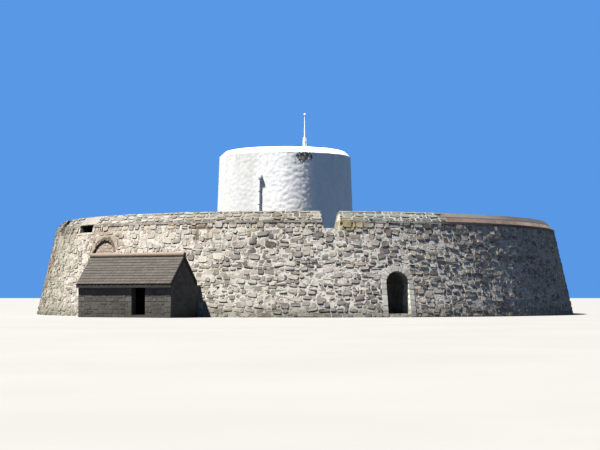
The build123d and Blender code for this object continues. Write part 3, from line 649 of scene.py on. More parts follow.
# %% Where the coping changes, and what lies on it
SLAB_JOINT_LEVEL = (LIP_LEVEL + CREST_LEVEL) / 2
MIDDLE_SLABS = ((-9.0, -3.0), (178.0, 160.0))
RED_SLABS = (
    (COPING_JOINT_BEARING - 0.2, COPING_JOINT_BEARING + 0.2),
    (SLABS_END_BEARING + 0.2, SLABS_END_BEARING - 0.2),
)
PINK_RUBBLE = ((3.0, 7.0), (31.0, 28.0))


# %% Material of the coping's slabs
def coping_material():
    material, nodes, shader = new_material("coping_granite")
    point, bearing, height, _ = nodes.group(wall_place)
    tint = tint_of_stone(nodes)
    speckle, grain = nodes.group(granite_grain, place=point, grain=0.013, contrast=0.5)
    red = nodes.ramp(tint, (0.0, colour(0.036, 0.014, 0.012)), (1.0, colour(0.078, 0.036, 0.030)))
    pink = nodes.ramp(tint, (0.0, colour(0.12, 0.085, 0.072)), (1.0, colour(0.20, 0.155, 0.135)))
    cream = nodes.ramp(tint, (0.0, colour(0.15, 0.135, 0.115)), (1.0, colour(0.21, 0.195, 0.17)))
    middle = nodes.band(bearing, *MIDDLE_SLABS)
    right = nodes.band(bearing, *RED_SLABS)
    faded = nodes.times(nodes.step(bearing, 47.0, 58.0), 0.5)
    base = nodes.mix(middle, cream, pink)
    base = nodes.mix(right, base, nodes.mix(faded, red, pink))
    base = nodes.mix(1.0, base, speckle, "MULTIPLY")

    # Lichen: a pale crust, thickest on the pink stretch, and a little yellow
    crust = nodes.group(lichen, place=point, colony=0.5, cover=0.8)["Mask"]
    on_pink = nodes.times(middle, nodes.minus(1.0, right))
    base = nodes.lay(base, colour(0.14, 0.155, 0.135), crust, nodes.times_plus(on_pink, 0.55, 0.2))
    elsewhere = nodes.vector("ADD", point, (9.0, 3.0, 5.0))
    yellow = nodes.group(lichen, place=elsewhere, colony=0.3, cover=0.3)["Mask"]
    base = nodes.lay(base, colour(0.14, 0.105, 0.045), yellow, 0.3)

    # The upper row is lighter, and further right painted shade makes it nearly black
    ragged = nodes.times_plus(nodes.noise(point, 0.5, 4), 0.08, height)
    upper_row = nodes.step(ragged, SLAB_JOINT_LEVEL + 0.02, SLAB_JOINT_LEVEL + 0.06)
    painted_shade_crest = nodes.times(nodes.step(bearing, 41.0, 54.0), right)
    crest = nodes.mix(painted_shade_crest, colour(0.088, 0.084, 0.084), colour(0.021, 0.025, 0.031))
    base = nodes.lay(base, crest, upper_row, 0.8)

    # Painted shadow along the joint between the rows, painted shade along the lower edge, and painted shade
    # in the loophole's throat
    from_joint = nodes.math("ABSOLUTE", nodes.minus(height, SLAB_JOINT_LEVEL))
    painted_joint_shadow = nodes.times(nodes.step(from_joint, 0.055, 0.02), right)
    base = nodes.lay(base, colour(0.02, 0.014, 0.014), painted_joint_shadow, 0.75)
    edge = nodes.step(height, LIP_LEVEL + 0.1, COPING_FOOT + 0.05)
    base = nodes.lay(base, colour(0.03, 0.018, 0.016), edge, 0.6)
    base = nodes.mix(nodes.group(throat)["Mask"], base, PAINTED_THROAT_SHADE)
    finish_with(nodes, shader, base, 0.82, grain, 0.01)
    return material


coping_granite = coping_material()


# %% Material of the coping's rubble
def coping_rubble_material():
    """The wall's own rubble, pink under a crust of pale lichen to the right of the centre."""
    material, nodes, shader = new_material("coping_rubble")
    point, bearing, height, _ = nodes.group(wall_place)
    tint = tint_of_stone(nodes)
    speckle, grain = nodes.group(granite_grain, place=point, grain=0.014, contrast=0.5)
    pink = nodes.ramp(
        tint,
        (0.0, colour(0.24, 0.16, 0.13)),
        (0.5, colour(0.42, 0.31, 0.27)),
        (1.0, colour(0.58, 0.46, 0.41)),
    )
    right = nodes.band(bearing, *PINK_RUBBLE)
    base = nodes.lay(nodes.ramp(tint, *RUBBLE_STOPS), pink, right, 0.85)
    base = nodes.mix(1.0, base, speckle, "MULTIPLY")
    base = nodes.group(battery_weather, color=base, growth=0.35, tone=COPING_TONE)["Color"]
    # Darker and bluer to the right of the middle; on the left painted light makes it lighter and bluer, as
    # light as the wall below
    base = nodes.mix(right, base, colour(0.34, 0.44, 0.52), "MULTIPLY")
    left = nodes.step(bearing, -15.0, -35.0)
    base = nodes.mix(left, base, colour(1.62, 1.75, 1.95), "MULTIPLY")
    crust = nodes.group(lichen, place=point, colony=0.45, cover=0.75)["Mask"]
    upper = nodes.step(height, LIP_LEVEL + 0.05, LIP_LEVEL + 0.35)
    share = nodes.times(nodes.times_plus(right, 0.72, 0.12), upper)
    base = nodes.lay(base, colour(0.108, 0.126, 0.114), crust, share)
    finish_with(nodes, shader, base, 0.86, grain, 0.012)
    return material


coping_rubble = coping_rubble_material()
print("coping slabs meet at", round(SLAB_JOINT_LEVEL, 3), "m")

# %% [markdown]
# ## Limewash
#
# Limewash is chalk-white, a little blue in the shade, and thick enough to round off the
# stones below it. It wears thin in patches where the grey stone shows through, and rain
# leaves faint runs under the lip. One patch at the top has lost it altogether. White in full
# sun would print as a blank, so the sunlit side is toned down until its lumps show, and the
# shaded side is toned blue.

# %% Where the tower's limewash changes
SUNLIT_SIDE = ((2.0, -34.0), (-178.0, -130.0))
SHADED_SIDE = ((16.0, 30.0), (170.0, 140.0))
BARE_PATCH = Mark(17.6, 10.6, 6.6, 0.46, colour(0.06, 0.055, 0.05), 0.95, 1.1)
BARE_CORE = Mark(19.0, 10.42, 2.7, 0.24, colour(0.30, 0.25, 0.21), 0.8, 1.1)


# %% Material of the tower
def limewash_material():
    material, nodes, shader = new_material("limewash")
    point, bearing, height, _ = nodes.group(wall_place, axis_x=TOWER_X)
    brushed = nodes.noise(point, 0.45, 5, 0.65)
    base = nodes.ramp(
        brushed,
        (0.3, colour(0.74, 0.77, 0.80)),
        (0.55, colour(0.86, 0.875, 0.885)),
        (0.75, colour(0.90, 0.905, 0.90)),
    )
    cream = nodes.step(nodes.noise(point, 1.8, 3), 0.5, 0.7)
    base = nodes.lay(base, colour(0.84, 0.80, 0.72), cream, 0.3)
    runs = nodes.group(
        rain_streaks, bearing=bearing, height=height, from_height=TOWER_LIP, run=3.5, streak_width=3.2
    )["Mask"]
    base = nodes.lay(base, colour(0.52, 0.53, 0.52), runs, 0.42)
    thin = nodes.step(nodes.noise(point, 0.7, 6, 0.72), 0.62, 0.72)
    base = nodes.lay(base, colour(0.56, 0.54, 0.50), thin, 0.4)

    sunlit = nodes.band(bearing, *SUNLIT_SIDE)
    base = nodes.mix(sunlit, base, colour(0.48, 0.486, 0.492), "MULTIPLY")
    below_lip = nodes.step(height, TOWER_LIP + 0.04, TOWER_LIP - 0.04)
    shaded = nodes.times(nodes.band(bearing, *SHADED_SIDE), below_lip)
    base = nodes.mix(shaded, base, colour(0.54, 0.70, 0.85), "MULTIPLY")

    bare = []
    under_cap = nodes.step(height, TOWER_LIP + 0.03, TOWER_LIP)
    for patch in (BARE_PATCH, BARE_CORE):
        mask = mark_mask(nodes, nodes.vector("SCALE", point, 1.8), bearing, height, patch)
        bare.append(nodes.times(mask, under_cap))
        base = nodes.lay(base, patch.shade, bare[-1], patch.strength)
    splash = nodes.step(height, YARD_LEVEL + 0.7, YARD_LEVEL)
    base = nodes.lay(base, colour(0.34, 0.35, 0.27), splash, 0.45)
    fine = nodes.noise(point, 0.05, 4, 0.65)
    lumpy = nodes.times_plus(fine, 0.4, brushed)
    relief = nodes.times_plus(bare[0], -0.6, lumpy)
    finish_with(nodes, shader, base, 0.88, relief, 0.012)
    return material


limewash = limewash_material()
print("limewash on everything round x", round(TOWER_X, 3), "m")

# %% [markdown]
# The other finishes are plainer: old plaster inside the vault, brown-grey stone slates, rusty
# black iron, grey-painted pipe iron and the flagstaff's white paint. Each still changes over
# its surface, because nothing on an old fort is one flat colour.

# %% Materials of the roof, the plaster and the metalwork
def plaster_material():
    material, nodes, shader = new_material("old_plaster")
    point = object_point(nodes)
    base = nodes.ramp(
        nodes.noise(point, 0.8, 5, 0.62),
        (0.32, colour(0.42, 0.38, 0.33)),
        (0.5, colour(0.66, 0.62, 0.56)),
        (0.7, colour(0.76, 0.73, 0.67)),
    )
    finish_with(nodes, shader, base, 0.92, nodes.noise(point, 0.09, 5, 0.6), 0.01)
    return material


def painted_metal(name, paint, rust_share, roughness):
    """Paint that chalks, with rust that breaks through in spots and along runs."""
    material, nodes, shader = new_material(name)
    point = object_point(nodes)
    x, y, z = nodes.split(point)
    wear = nodes.noise(nodes.join(x, y, nodes.times(z, 0.3)), 0.12, 6, 0.7)
    rust = nodes.step(wear, 0.72 - rust_share, 0.8 - rust_share)
    rusty = nodes.ramp(
        nodes.noise(point, 0.02, 3), (0.35, colour(0.10, 0.045, 0.02)), (0.7, colour(0.26, 0.12, 0.05))
    )
    chalky = nodes.lay(paint, colour(0.62, 0.63, 0.63), nodes.noise(point, 0.25, 4), 0.5)
    base = nodes.lay(chalky, rusty, rust, 0.85)
    finish_with(nodes, shader, base, nodes.times_plus(rust, 0.3, roughness), wear, 0.002)
    return material


SLATE_STOPS = (
    (0.0, colour(0.176, 0.12, 0.076)),
    (0.5, colour(0.292, 0.207, 0.135)),
    (1.0, colour(0.43, 0.313, 0.203)),
)
RIDGE_STOPS = ((0.0, colour(0.47, 0.30, 0.19)), (1.0, colour(0.70, 0.48, 0.33)))
HOUSE_STOPS = (
    (0.0, colour(0.16, 0.13, 0.11)),
    (0.4, colour(0.34, 0.29, 0.24)),
    (1.0, colour(0.52, 0.46, 0.39)),
)
old_plaster = plaster_material()
black_iron = painted_metal("black_iron", colour(0.05, 0.05, 0.052), 0.14, 0.5)
grey_iron = painted_metal("grey_iron", colour(0.93, 0.94, 0.95), 0.03, 0.5)
white_paint = painted_metal("white_paint", colour(0.82, 0.83, 0.83), 0.0, 0.4)
slate_stone = stone_material(
    "slate_stone", SLATE_STOPS, grain=0.02, contrast=0.5, growth=0.25, depth=0.006, tone=ROOF_TONE
)
ridge_mortar = stone_material("ridge_mortar", RIDGE_STOPS, 0.02, 0.45, growth=0.2, tone=RIDGE_TONE)
house_granite = stone_material("house_granite", HOUSE_STOPS, 0.014, 0.5, growth=0.5, tone=HOUSE_TONE)
print(len(bpy.data.materials), "materials so far")

# %% [markdown]
# ## Laying stones
#
# A mason lays rubble in rough courses, picks each stone to fit, and stops at the openings.
# `lay_courses` does that on a flat strip, as long as the wall is round: it makes a list of
# stones with their places and sizes and leaves the openings free. Scattering points at
# random would be quicker, but the stones would overlap, and real ones never do.

# %% Helper: courses of stones on a flat strip
Stone = namedtuple("Stone", "along up long high tint turn taper lean", defaults=(0, 0, 0))


def square_hole(along, half, foot, head):
    """Opening with a flat head: its middle, and how far it reaches in a course."""
    return along, lambda low, high: half if low < head and high > foot else 0


def round_hole(along, half, foot, spring):
    """Opening with a round head."""

    def reach(low, high):
        if high <= foot or low >= spring + half:
            return 0
        return sqrt(half**2 - max(0, low - spring) ** 2)

    return along, reach


def disc_hole(along, radius, level):
    """Round hole about a level."""

    def reach(low, high):
        nearest = max(low - level, level - high, 0)
        return sqrt(radius**2 - nearest**2) if nearest < radius else 0

    return along, reach


def free_runs(start, end, low, high, openings, around):
    """What the openings leave of a stone that runs from start to end."""
    runs = [(start, end)]
    for along, reach in openings:
        half = reach(low, high)
        if not half:
            continue
        if around:
            along += around * round(((start + end) / 2 - along) / around)
        left, right = along - half, along + half
        runs = [
            piece
            for a, b in runs
            for piece in ((a, min(b, left)), (max(a, right), b))
            if piece[1] - piece[0] > 0.3 * (high - low)
        ]
    return runs


def wander(along, around, amount):
    """How far a rough course has wandered up or down at a place along the wall."""
    turn = 2 * pi * along / around
    return amount * (sin(9 * turn + 1) + 0.7 * sin(23 * turn) + 0.5 * sin(41 * turn + 2)) / 2.2


def lay_courses(
    low, high, span, size, seed, openings=(), around=None,
    split=0.0, uneven=0.5, skew=0.0, wavy=0.0, ragged=0.0,
):
    """Stones in courses from low to high. span gives where a course starts and ends."""
    chance = Random(seed)
    beds = [1 + uneven * chance.uniform(-0.55, 0.55) for _ in range(max(1, round((high - low) / size[1])))]
    stones = []
    bottom = low
    for bed in beds:
        top = bottom + bed * (high - low) / sum(beds)
        left, right = span(bottom, top) if callable(span) else span
        lengths = []
        total = 0.0
        while total < right - left:
            lengths.append(size[0] * (1 + uneven * chance.uniform(-1, 1.2)))
            total += lengths[-1]
        edge = left + (chance.uniform(0, around) if around else 0)
        for length in lengths:
            run = length * (right - left) / total
            near_edge = max(0, min(1, (bottom - low) / 0.5, (high - top) / 0.5))
            shift = wander(edge, around or 100, wavy) * near_edge
            under, over = bottom + shift, top + shift
            for start, end in free_runs(edge, edge + run, under, over, openings, around):
                middle = (start + end) / 2
                turn = radians(skew * chance.uniform(-1, 1))
                levels = ((under, over),)
                if chance.random() < split and end - start < 1.6 * size[0]:
                    cut = under + (over - under) * chance.uniform(0.35, 0.65)
                    levels = ((under, cut), (cut, over))
                for foot, head in levels:
                    up = (foot + head) / 2 + ragged * (head - foot) * chance.uniform(-0.3, 0.3) * near_edge
                    tall = (head - foot) * (1 - ragged * chance.uniform(0, 0.35))
                    wide = (end - start) * (1 - ragged * chance.uniform(0, 0.3))
                    stones.append(Stone(middle, up, wide, tall, chance.random(), turn))
            edge += run
        bottom = top
    return stones


# %% [markdown]
# ## One stone, in Geometry Nodes
#
# Every stone starts as one box of sixty triangles. Its front is drawn in at the rim, so that
# it catches the light like a face dressed with a hammer, and noise pushes its corners about
# so that no two are alike. Sculpting would give finer stones, but thousands of them would
# need millions of faces. The tree reads each stone's size, turn and tint from the points.

# %% Inputs that the trees share
GEOMETRY_INPUT = ("Geometry", "Geometry", None)
MATERIAL_INPUT = ("Material", "Material", None)
GEOMETRY_OUTPUT = [("Geometry", "Geometry")]
SHAPE_INPUTS = [
    ("Rim", "Float", 0.02),
    ("Corner", "Float", 0.07),
    ("Roughness", "Float", 0.02),
    ("Lump", "Float", 0.3),
]
RING_INPUTS = [
    ("Axis X", "Float", 0.0),
    ("Radius", "Float", 10.0),
    ("Height", "Float", 0.0),
    ("Lean", "Float", 0.0),
    ("Arc Radius", "Float", 10.0),
    ("Facing", "Float", 1.0),
]
SHAPE_LABELS = [label for label, _, _ in SHAPE_INPUTS]
RING_LABELS = [label for label, _, _ in RING_INPUTS]
print("a stone's shape:", SHAPE_LABELS, "and its place on a round wall:", RING_LABELS)


# %% Group: rough stones from points
def shaped_stones_group():
    nodes, given, result = new_group(
        "Shaped stones",
        "GeometryNodeTree",
        [GEOMETRY_INPUT, *SHAPE_INPUTS],
        GEOMETRY_OUTPUT,
    )
    block = nodes.add("GeometryNodeMeshCube", {"Vertices X": 4, "Vertices Y": 2, "Vertices Z": 4})
    x, y, z = nodes.split(nodes.get("GeometryNodeInputPosition"))

    def spread(value):
        """Moves the inner rows of the front outwards, near its rim."""
        inner = nodes.math("LESS_THAN", nodes.math("ABSOLUTE", value), 0.3)
        return nodes.times(value, nodes.times_plus(inner, 1.25, 1.0))

    outer = nodes.math("MAXIMUM", nodes.math("ABSOLUTE", x), nodes.math("ABSOLUTE", z))
    corner = nodes.math("MINIMUM", nodes.math("ABSOLUTE", x), nodes.math("ABSOLUTE", z))
    on_front = nodes.math("LESS_THAN", y, 0.0)
    on_rim = nodes.times(nodes.math("GREATER_THAN", outer, 0.3), on_front)
    cut = nodes.times(nodes.math("GREATER_THAN", corner, 0.3), given["Corner"])
    pull = nodes.minus(1.0, cut)
    local = nodes.join(nodes.times(spread(x), pull), y, nodes.times(spread(z), pull))
    block = nodes.move(block.outputs["Mesh"], local)
    for name, value, kind in (
        ("local", nodes.get("GeometryNodeInputPosition"), "FLOAT_VECTOR"),
        ("rim", on_rim, "FLOAT"),
    ):
        block = nodes.get(
            "GeometryNodeStoreNamedAttribute",
            {"Geometry": block, "Name": name, "Value": value},
            data_type=kind,
            domain="POINT",
        )
    placed = nodes.get("GeometryNodeInstanceOnPoints", {"Points": given["Geometry"], "Instance": block})
    stones = nodes.get("GeometryNodeRealizeInstances", {"Geometry": placed})

    def read(name, kind="FLOAT"):
        return nodes.get("GeometryNodeInputNamedAttribute", {"Name": name}, "Attribute", data_type=kind)

    shape = read("local", "FLOAT_VECTOR")
    centre = nodes.vector("SUBTRACT", nodes.get("GeometryNodeInputPosition"), shape)
    shape_x, shape_y, shape_z = nodes.split(shape)
    long, deep, high = nodes.split(read("size", "FLOAT_VECTOR"))
    tapered = nodes.times_plus(read("taper"), shape_z, 1.0)
    across = nodes.times(shape_x, long, tapered)
    set_back = nodes.times_plus(read("rim"), given["Rim"], nodes.times(shape_y, deep))
    inward = nodes.times_plus(read("lean"), shape_z, set_back)
    body = nodes.join(across, inward, nodes.times(shape_z, high))
    body = nodes.get(
        "ShaderNodeVectorRotate", {"Vector": body, "Angle": read("turn")}, rotation_type="Y_AXIS"
    )
    place = nodes.vector("ADD", centre, body)
    own = nodes.times(read("tint"), 97.0)
    rough = nodes.get(
        "ShaderNodeTexNoise",
        {"Vector": place, "W": own, "Scale": nodes.math("DIVIDE", 1.0, given["Lump"]), "Detail": 1.0},
        1,
        noise_dimensions="4D",
    )
    push = nodes.vector("SCALE", nodes.vector("SUBTRACT", rough, (0.5, 0.5, 0.5)), given["Roughness"])
    stones = nodes.move(stones, nodes.vector("ADD", place, push))
    for name in ("local", "rim", "size", "turn", "taper", "lean"):
        stones = nodes.get("GeometryNodeRemoveAttribute", {"Geometry": stones, "Name": name})
    nodes.feed(result, "Geometry", stones)
    return nodes.tree


shaped_stones = shaped_stones_group()

# %% [markdown]
# ## Bending the strip round the wall
#
# The stones lie on a flat strip with their fronts towards -Y. This tree bends the strip round
# an axis. `Lean` tips it back: 0 is an upright wall, the angle of the batter a leaning one,
# and 90 degrees a pavement. `Facing` -1 turns the fronts inwards, for the courtyard's side.
# A Curve modifier could bend the strip as well, but not lean it by a given angle.

# %% Groups: the end of a tree, and the bend round an axis
CRISP_ANGLE = radians(38)


def finish_tree(nodes, given, result, geometry):
    """Ends a tree: flat facets with crisp arrises, made real and given their material."""
    angle = nodes.get("GeometryNodeInputMeshEdgeAngle", output="Unsigned Angle")
    crisp = nodes.get(
        "FunctionNodeCompare", {0: angle, 1: CRISP_ANGLE}, data_type="FLOAT", operation="GREATER_THAN"
    )
    geometry = nodes.get("GeometryNodeSetShadeSmooth", {"Geometry": geometry})
    geometry = nodes.get(
        "GeometryNodeStoreNamedAttribute",
        {"Geometry": geometry, "Name": "sharp_edge", "Value": crisp},
        data_type="BOOLEAN",
        domain="EDGE",
    )
    geometry = nodes.get("GeometryNodeRealizeInstances", {"Geometry": geometry})
    geometry = nodes.get("GeometryNodeSetMaterial", {"Geometry": geometry, "Material": given["Material"]})
    nodes.feed(result, "Geometry", geometry)
    return nodes.tree


def bend_group():
    """Bends a flat strip round an upright axis."""
    nodes, given, result = new_group(
        "Bend round the wall", "GeometryNodeTree", [GEOMETRY_INPUT, *RING_INPUTS], GEOMETRY_OUTPUT
    )
    x, y, z = nodes.split(nodes.get("GeometryNodeInputPosition"))
    proud = nodes.times(y, -1.0, given["Facing"])
    turn = nodes.times(nodes.math("DIVIDE", x, given["Arc Radius"]), given["Facing"])
    sine, cosine = nodes.math("SINE", given["Lean"]), nodes.math("COSINE", given["Lean"])
    inward = nodes.times(z, sine)
    radius = nodes.minus(nodes.times_plus(proud, cosine, given["Radius"]), inward)
    height = nodes.times_plus(z, cosine, nodes.times_plus(proud, sine, given["Height"]))
    place = nodes.join(
        nodes.times_plus(radius, nodes.math("SINE", turn), given["Axis X"]),
        nodes.times(radius, nodes.times(nodes.math("COSINE", turn), -1.0)),
        height,
    )
    nodes.feed(result, "Geometry", nodes.move(given["Geometry"], place))
    return nodes.tree


bend_round = bend_group()

# %% Trees: stones on a round wall and on a flat one
STONE_INPUTS = [GEOMETRY_INPUT, *SHAPE_INPUTS, MATERIAL_INPUT]


def place_group(nodes, group, geometry, given, labels):
    """Puts a group in a tree and feeds it the tree's own inputs of the same names."""
    node = nodes.add("GeometryNodeGroup", node_tree=group)
    nodes.feed(node, "Geometry", geometry)
    for label in labels:
        nodes.feed(node, label, given[label])
    return node.outputs["Geometry"]


def ring_stones_tree():
    nodes, given, result = new_group(
        "Stones on a round wall", "GeometryNodeTree", [*STONE_INPUTS, *RING_INPUTS], GEOMETRY_OUTPUT
    )
    stones = place_group(nodes, shaped_stones, given["Geometry"], given, SHAPE_LABELS)
    bent = place_group(nodes, bend_round, stones, given, RING_LABELS)
    return finish_tree(nodes, given, result, bent)


def flat_stones_tree():
    nodes, given, result = new_group(
        "Stones on a flat wall",
        "GeometryNodeTree",
        [*STONE_INPUTS, ("Place", "Vector", (0, 0, 0)), ("Turn", "Vector", (0, 0, 0))],
        GEOMETRY_OUTPUT,
    )
    stones = place_group(nodes, shaped_stones, given["Geometry"], given, SHAPE_LABELS)
    to_place = {"Geometry": stones, "Translation": given["Place"], "Rotation": given["Turn"]}
    moved = nodes.get("GeometryNodeTransform", to_place)
    return finish_tree(nodes, given, result, moved)


ring_stones = ring_stones_tree()
flat_stones = flat_stones_tree()

# %% [markdown]
# A tree's result has to become a plain mesh before it joins the fort, because an exported
# file has no trees. `build` feeds the stones to the tree as points, sets the tree's inputs by
# their identifiers, and keeps the mesh that comes out.

# %% Helper: from stones to a finished piece
made = {}


def link_piece(name, mesh, slot):
    """Puts a finished mesh on the fort."""
    piece = bpy.data.objects.new(name, mesh)
    bpy.context.scene.collection.objects.link(piece)
    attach(piece, "root")
    made[name] = sum(len(face.vertices) - 2 for face in mesh.polygons)
    print(f"{name}: {made[name]} triangles")
    return piece


def run_tree(name, points, tree, settings):
    """The plain mesh that a tree makes from some points."""
    holder = bpy.data.objects.new(name + "_points", points)
    bpy.context.scene.collection.objects.link(holder)
    modifier = holder.modifiers.new("tree", "NODES")
    modifier.node_group = tree
    for item in tree.interface.items_tree:
        if item.item_type == "SOCKET" and item.in_out == "INPUT" and item.name in settings:
            modifier[item.identifier] = settings[item.name]
    depsgraph = bpy.context.evaluated_depsgraph_get()
    mesh = bpy.data.meshes.new_from_object(
        holder.evaluated_get(depsgraph), preserve_all_data_layers=True, depsgraph=depsgraph
    )
    holder.modifiers.remove(modifier)
    bpy.data.objects.remove(holder)
    mesh.name = name
    return mesh


def build(name, stones, tree, slot, joint=0.03, deep=0.1, proud=0.035, loose=0.006, seed=1, **settings):
    """Builds laid stones as one piece: joint is the mortar between them."""
    chance = Random(seed)
    points = bpy.data.meshes.new(name + "_points")
    points.from_pydata(
        [(s.along, deep / 2 - proud - chance.uniform(-loose, loose), s.up) for s in stones], [], []
    )
    sizes = [value for s in stones for value in (max(0.05, s.long - joint), deep, max(0.05, s.high - joint))]
    points.attributes.new("size", "FLOAT_VECTOR", "POINT").data.foreach_set("vector", sizes)
    for field in ("turn", "taper", "lean", "tint"):
        values = [getattr(s, field) for s in stones]
        points.attributes.new(field, "FLOAT", "POINT").data.foreach_set("value", values)
    labels = {key.replace("_", " ").title(): value for key, value in settings.items()}
    return link_piece(name, run_tree(name, points, tree, labels), slot)

# %% [markdown]
# ## The battery's outer face
#
# The face is granite rubble in wide mortar, about 28 cm a course, up to the coping. The
# strip is as long as the foot of the wall is round, and the stones narrow a little towards
# the top, as the real ring does. The face is built in four quarters, which keeps each piece
# light. The joints of the strip's own ends never line up, because each course starts at a
# random place round the ring.

# %% Openings in the outer face
AROUND = 2 * pi * FOOT_R
SCARP_UP = 1 / cos(SCARP_LEAN)
# Levels below every foot and above every head, for openings that go on past the courses
BELOW_ALL, ABOVE_ALL = -1, 9
GATE_SURROUND = GATE_RING + 0.02


def along_ring(bearing, radius=FOOT_R):
    """How far along the strip a bearing lies."""
    return radians(bearing) * radius


def quarter(stones, number, radius=FOOT_R):
    """The stones whose middle lies in one quarter of the ring."""
    return [s for s in stones if int(s.along / radius % (2 * pi) // (pi / 2)) == number]


HOUSE_MIDDLE = (HOUSE_LEFT + HOUSE_RIGHT) / 2
HOUSE_LONG = HOUSE_RIGHT - HOUSE_LEFT
slot_bottom, arch_bottom = (LOOPHOLE_SILL - 0.16) * SCARP_UP, ARCH_FOOT * SCARP_UP
scarp_openings = [
    round_hole(along_ring(GATE_BEARING), GATE_HALF + GATE_SURROUND, BELOW_ALL, GATE_SPRING * SCARP_UP),
    round_hole(along_ring(ARCH_BEARING), ARCH_HALF + ARCH_RING + 0.02, arch_bottom, ARCH_SPRING * SCARP_UP),
    square_hole(along_ring(LOOPHOLE_BEARING), LINTEL_HALF + 0.02, slot_bottom, ABOVE_ALL),
    square_hole(along_ring(HOUSE_BEARING) + HOUSE_MIDDLE, HOUSE_LONG / 2, BELOW_ALL, HOUSE_EAVES + 0.1),
]
for bearing in EMBRASURE_BEARINGS:
    scarp_openings.append(square_hole(along_ring(bearing), 0.56, EMBRASURE_SILL * SCARP_UP, ABOVE_ALL))
print(len(scarp_openings), "openings in the outer face")

# %% Rubble of the outer face
scarp_courses = lay_courses(
    0,
    (COPING_FOOT - 0.01) * SCARP_UP,
    (0, AROUND),
    (0.4, 0.275),
    seed=11,
    openings=scarp_openings,
    around=AROUND,
    split=0.2,
    uneven=0.7,
    skew=11,
    wavy=0.16,
    ragged=1.0,
)
top_course = [
    s for s in scarp_courses
    if s.up + s.high / 2 > (COPING_FOOT - 0.16) * SCARP_UP
    and not COPING_JOINT_BEARING < degrees(s.along / FOOT_R) % 360 < SLABS_END_BEARING
]
lower_courses = [s for s in scarp_courses if s not in top_course]
ON_SCARP = {"radius": FOOT_R, "lean": SCARP_LEAN, "arc_radius": FOOT_R}
ROUGH_FACE = {"rim": 0.028, "corner": 0.24, "roughness": 0.08, "lump": 0.17, "material": rubble_granite}
SCARP_RUBBLE = {"joint": 0.03, "loose": 0.025, **ROUGH_FACE, **ON_SCARP}
for number in range(4):
    stones = quarter(lower_courses, number)
    name = f"scarp_stones_{number + 1}"
    build(name, stones, ring_stones, "rubble_granite", proud=0.045, seed=number, **SCARP_RUBBLE)

# %% [markdown]
# ## The courtyard's side of the rampart, and the parapet's back
#
# These walls face inwards, so the strip's fronts are turned round with `Facing` -1. Bearings
# then run the other way along the strip.

# %% Rubble of the courtyard's side
INNER_FACE = {"rim": 0.02, "corner": 0.2, "roughness": 0.07, "lump": 0.2, "material": rubble_granite}
INNER = {"facing": -1.0, **INNER_FACE}


def inner_strip(radius, low, high, size, seed, openings):
    around = 2 * pi * radius
    return lay_courses(low, high, (0, around), size, seed, openings, around, 0.15, 0.6, 8, 0.1, 0.8)


gate_from_inside = -along_ring(GATE_BEARING, YARD_R)
yard_openings = [round_hole(gate_from_inside, GATE_HALF + GATE_SURROUND, BELOW_ALL, GATE_SPRING)]
yard_wall = inner_strip(YARD_R, YARD_LEVEL, WALK_LEVEL - 0.02, (0.58, 0.35), 21, yard_openings)
IN_YARD = {"radius": YARD_R, "arc_radius": YARD_R}
for number in range(2):
    half_ring = [s for s in yard_wall if int(s.along / YARD_R % (2 * pi) // pi) == number]
    name = f"courtyard_wall_stones_{number + 1}"
    build(name, half_ring, ring_stones, "rubble_granite", joint=0.045, **IN_YARD, **INNER)

# %% Rubble of the parapet's back
slot_from_inside = -along_ring(LOOPHOLE_BEARING, PARAPET_R)
back_openings = [square_hole(slot_from_inside, LOOPHOLE_HALF + 0.02, LOOPHOLE_SILL - 0.03, ABOVE_ALL)]
for bearing in EMBRASURE_BEARINGS:
    back_openings.append(square_hole(-along_ring(bearing, PARAPET_R), 0.46, EMBRASURE_SILL + 0.04, ABOVE_ALL))
back_top = CREST_LEVEL - BACK_FALL - 0.16
build(
    "parapet_back_stones",
    inner_strip(PARAPET_R, WALK_LEVEL, back_top, (0.5, 0.27), 23, back_openings),
    ring_stones,
    "rubble_granite",
    joint=0.04,
    radius=PARAPET_R,
    arc_radius=PARAPET_R,
    **INNER,
)

# %% [markdown]
# ## Arches
#
# An arch is a ring of wedge-shaped stones, so each one is turned to point away from the
# arch's centre and tapers with the ring. Upright blocks carry it down to the ground. The
# gateway has light, dressed blocks on both sides of the rampart, and the walled-up arch has
# darker ones. The tower's doorway has the same ring under its limewash.

# %% Helper: arch stones and jamb blocks
JAMB_BLOCK_HIGH = 0.3


def arch_and_jambs(along, half, ring, spring, foot, count, seed, stretch=1.0, uneven=0.0):
    """Stones of a round arch and the blocks under it, on a strip."""
    chance = Random(seed)
    middle = half + ring / 2
    stones = []
    shares = [1 + uneven * chance.uniform(-1, 1) for _ in range(count)]
    begun = 0.0
    for share in shares:
        angle = pi * (begun + share / 2) / sum(shares)
        begun += share
        deep = ring * (1 - uneven * chance.uniform(0, 0.8))
        out = half + deep / 2
        place = (along + out * cos(angle), (spring + out * sin(angle)) * stretch)
        wide = pi * middle * share / sum(shares)
        stones.append(Stone(*place, wide, deep, chance.random(), pi / 2 - angle, deep / middle))
    blocks = max(1, round((spring - foot) / JAMB_BLOCK_HIGH))
    high = (spring - foot) / blocks
    for index in range(blocks):
        for side in (-1, 1):
            up = (foot + (index + 0.5) * high) * stretch
            stones.append(Stone(along + side * middle, up, ring, high * stretch, chance.random()))
    return stones


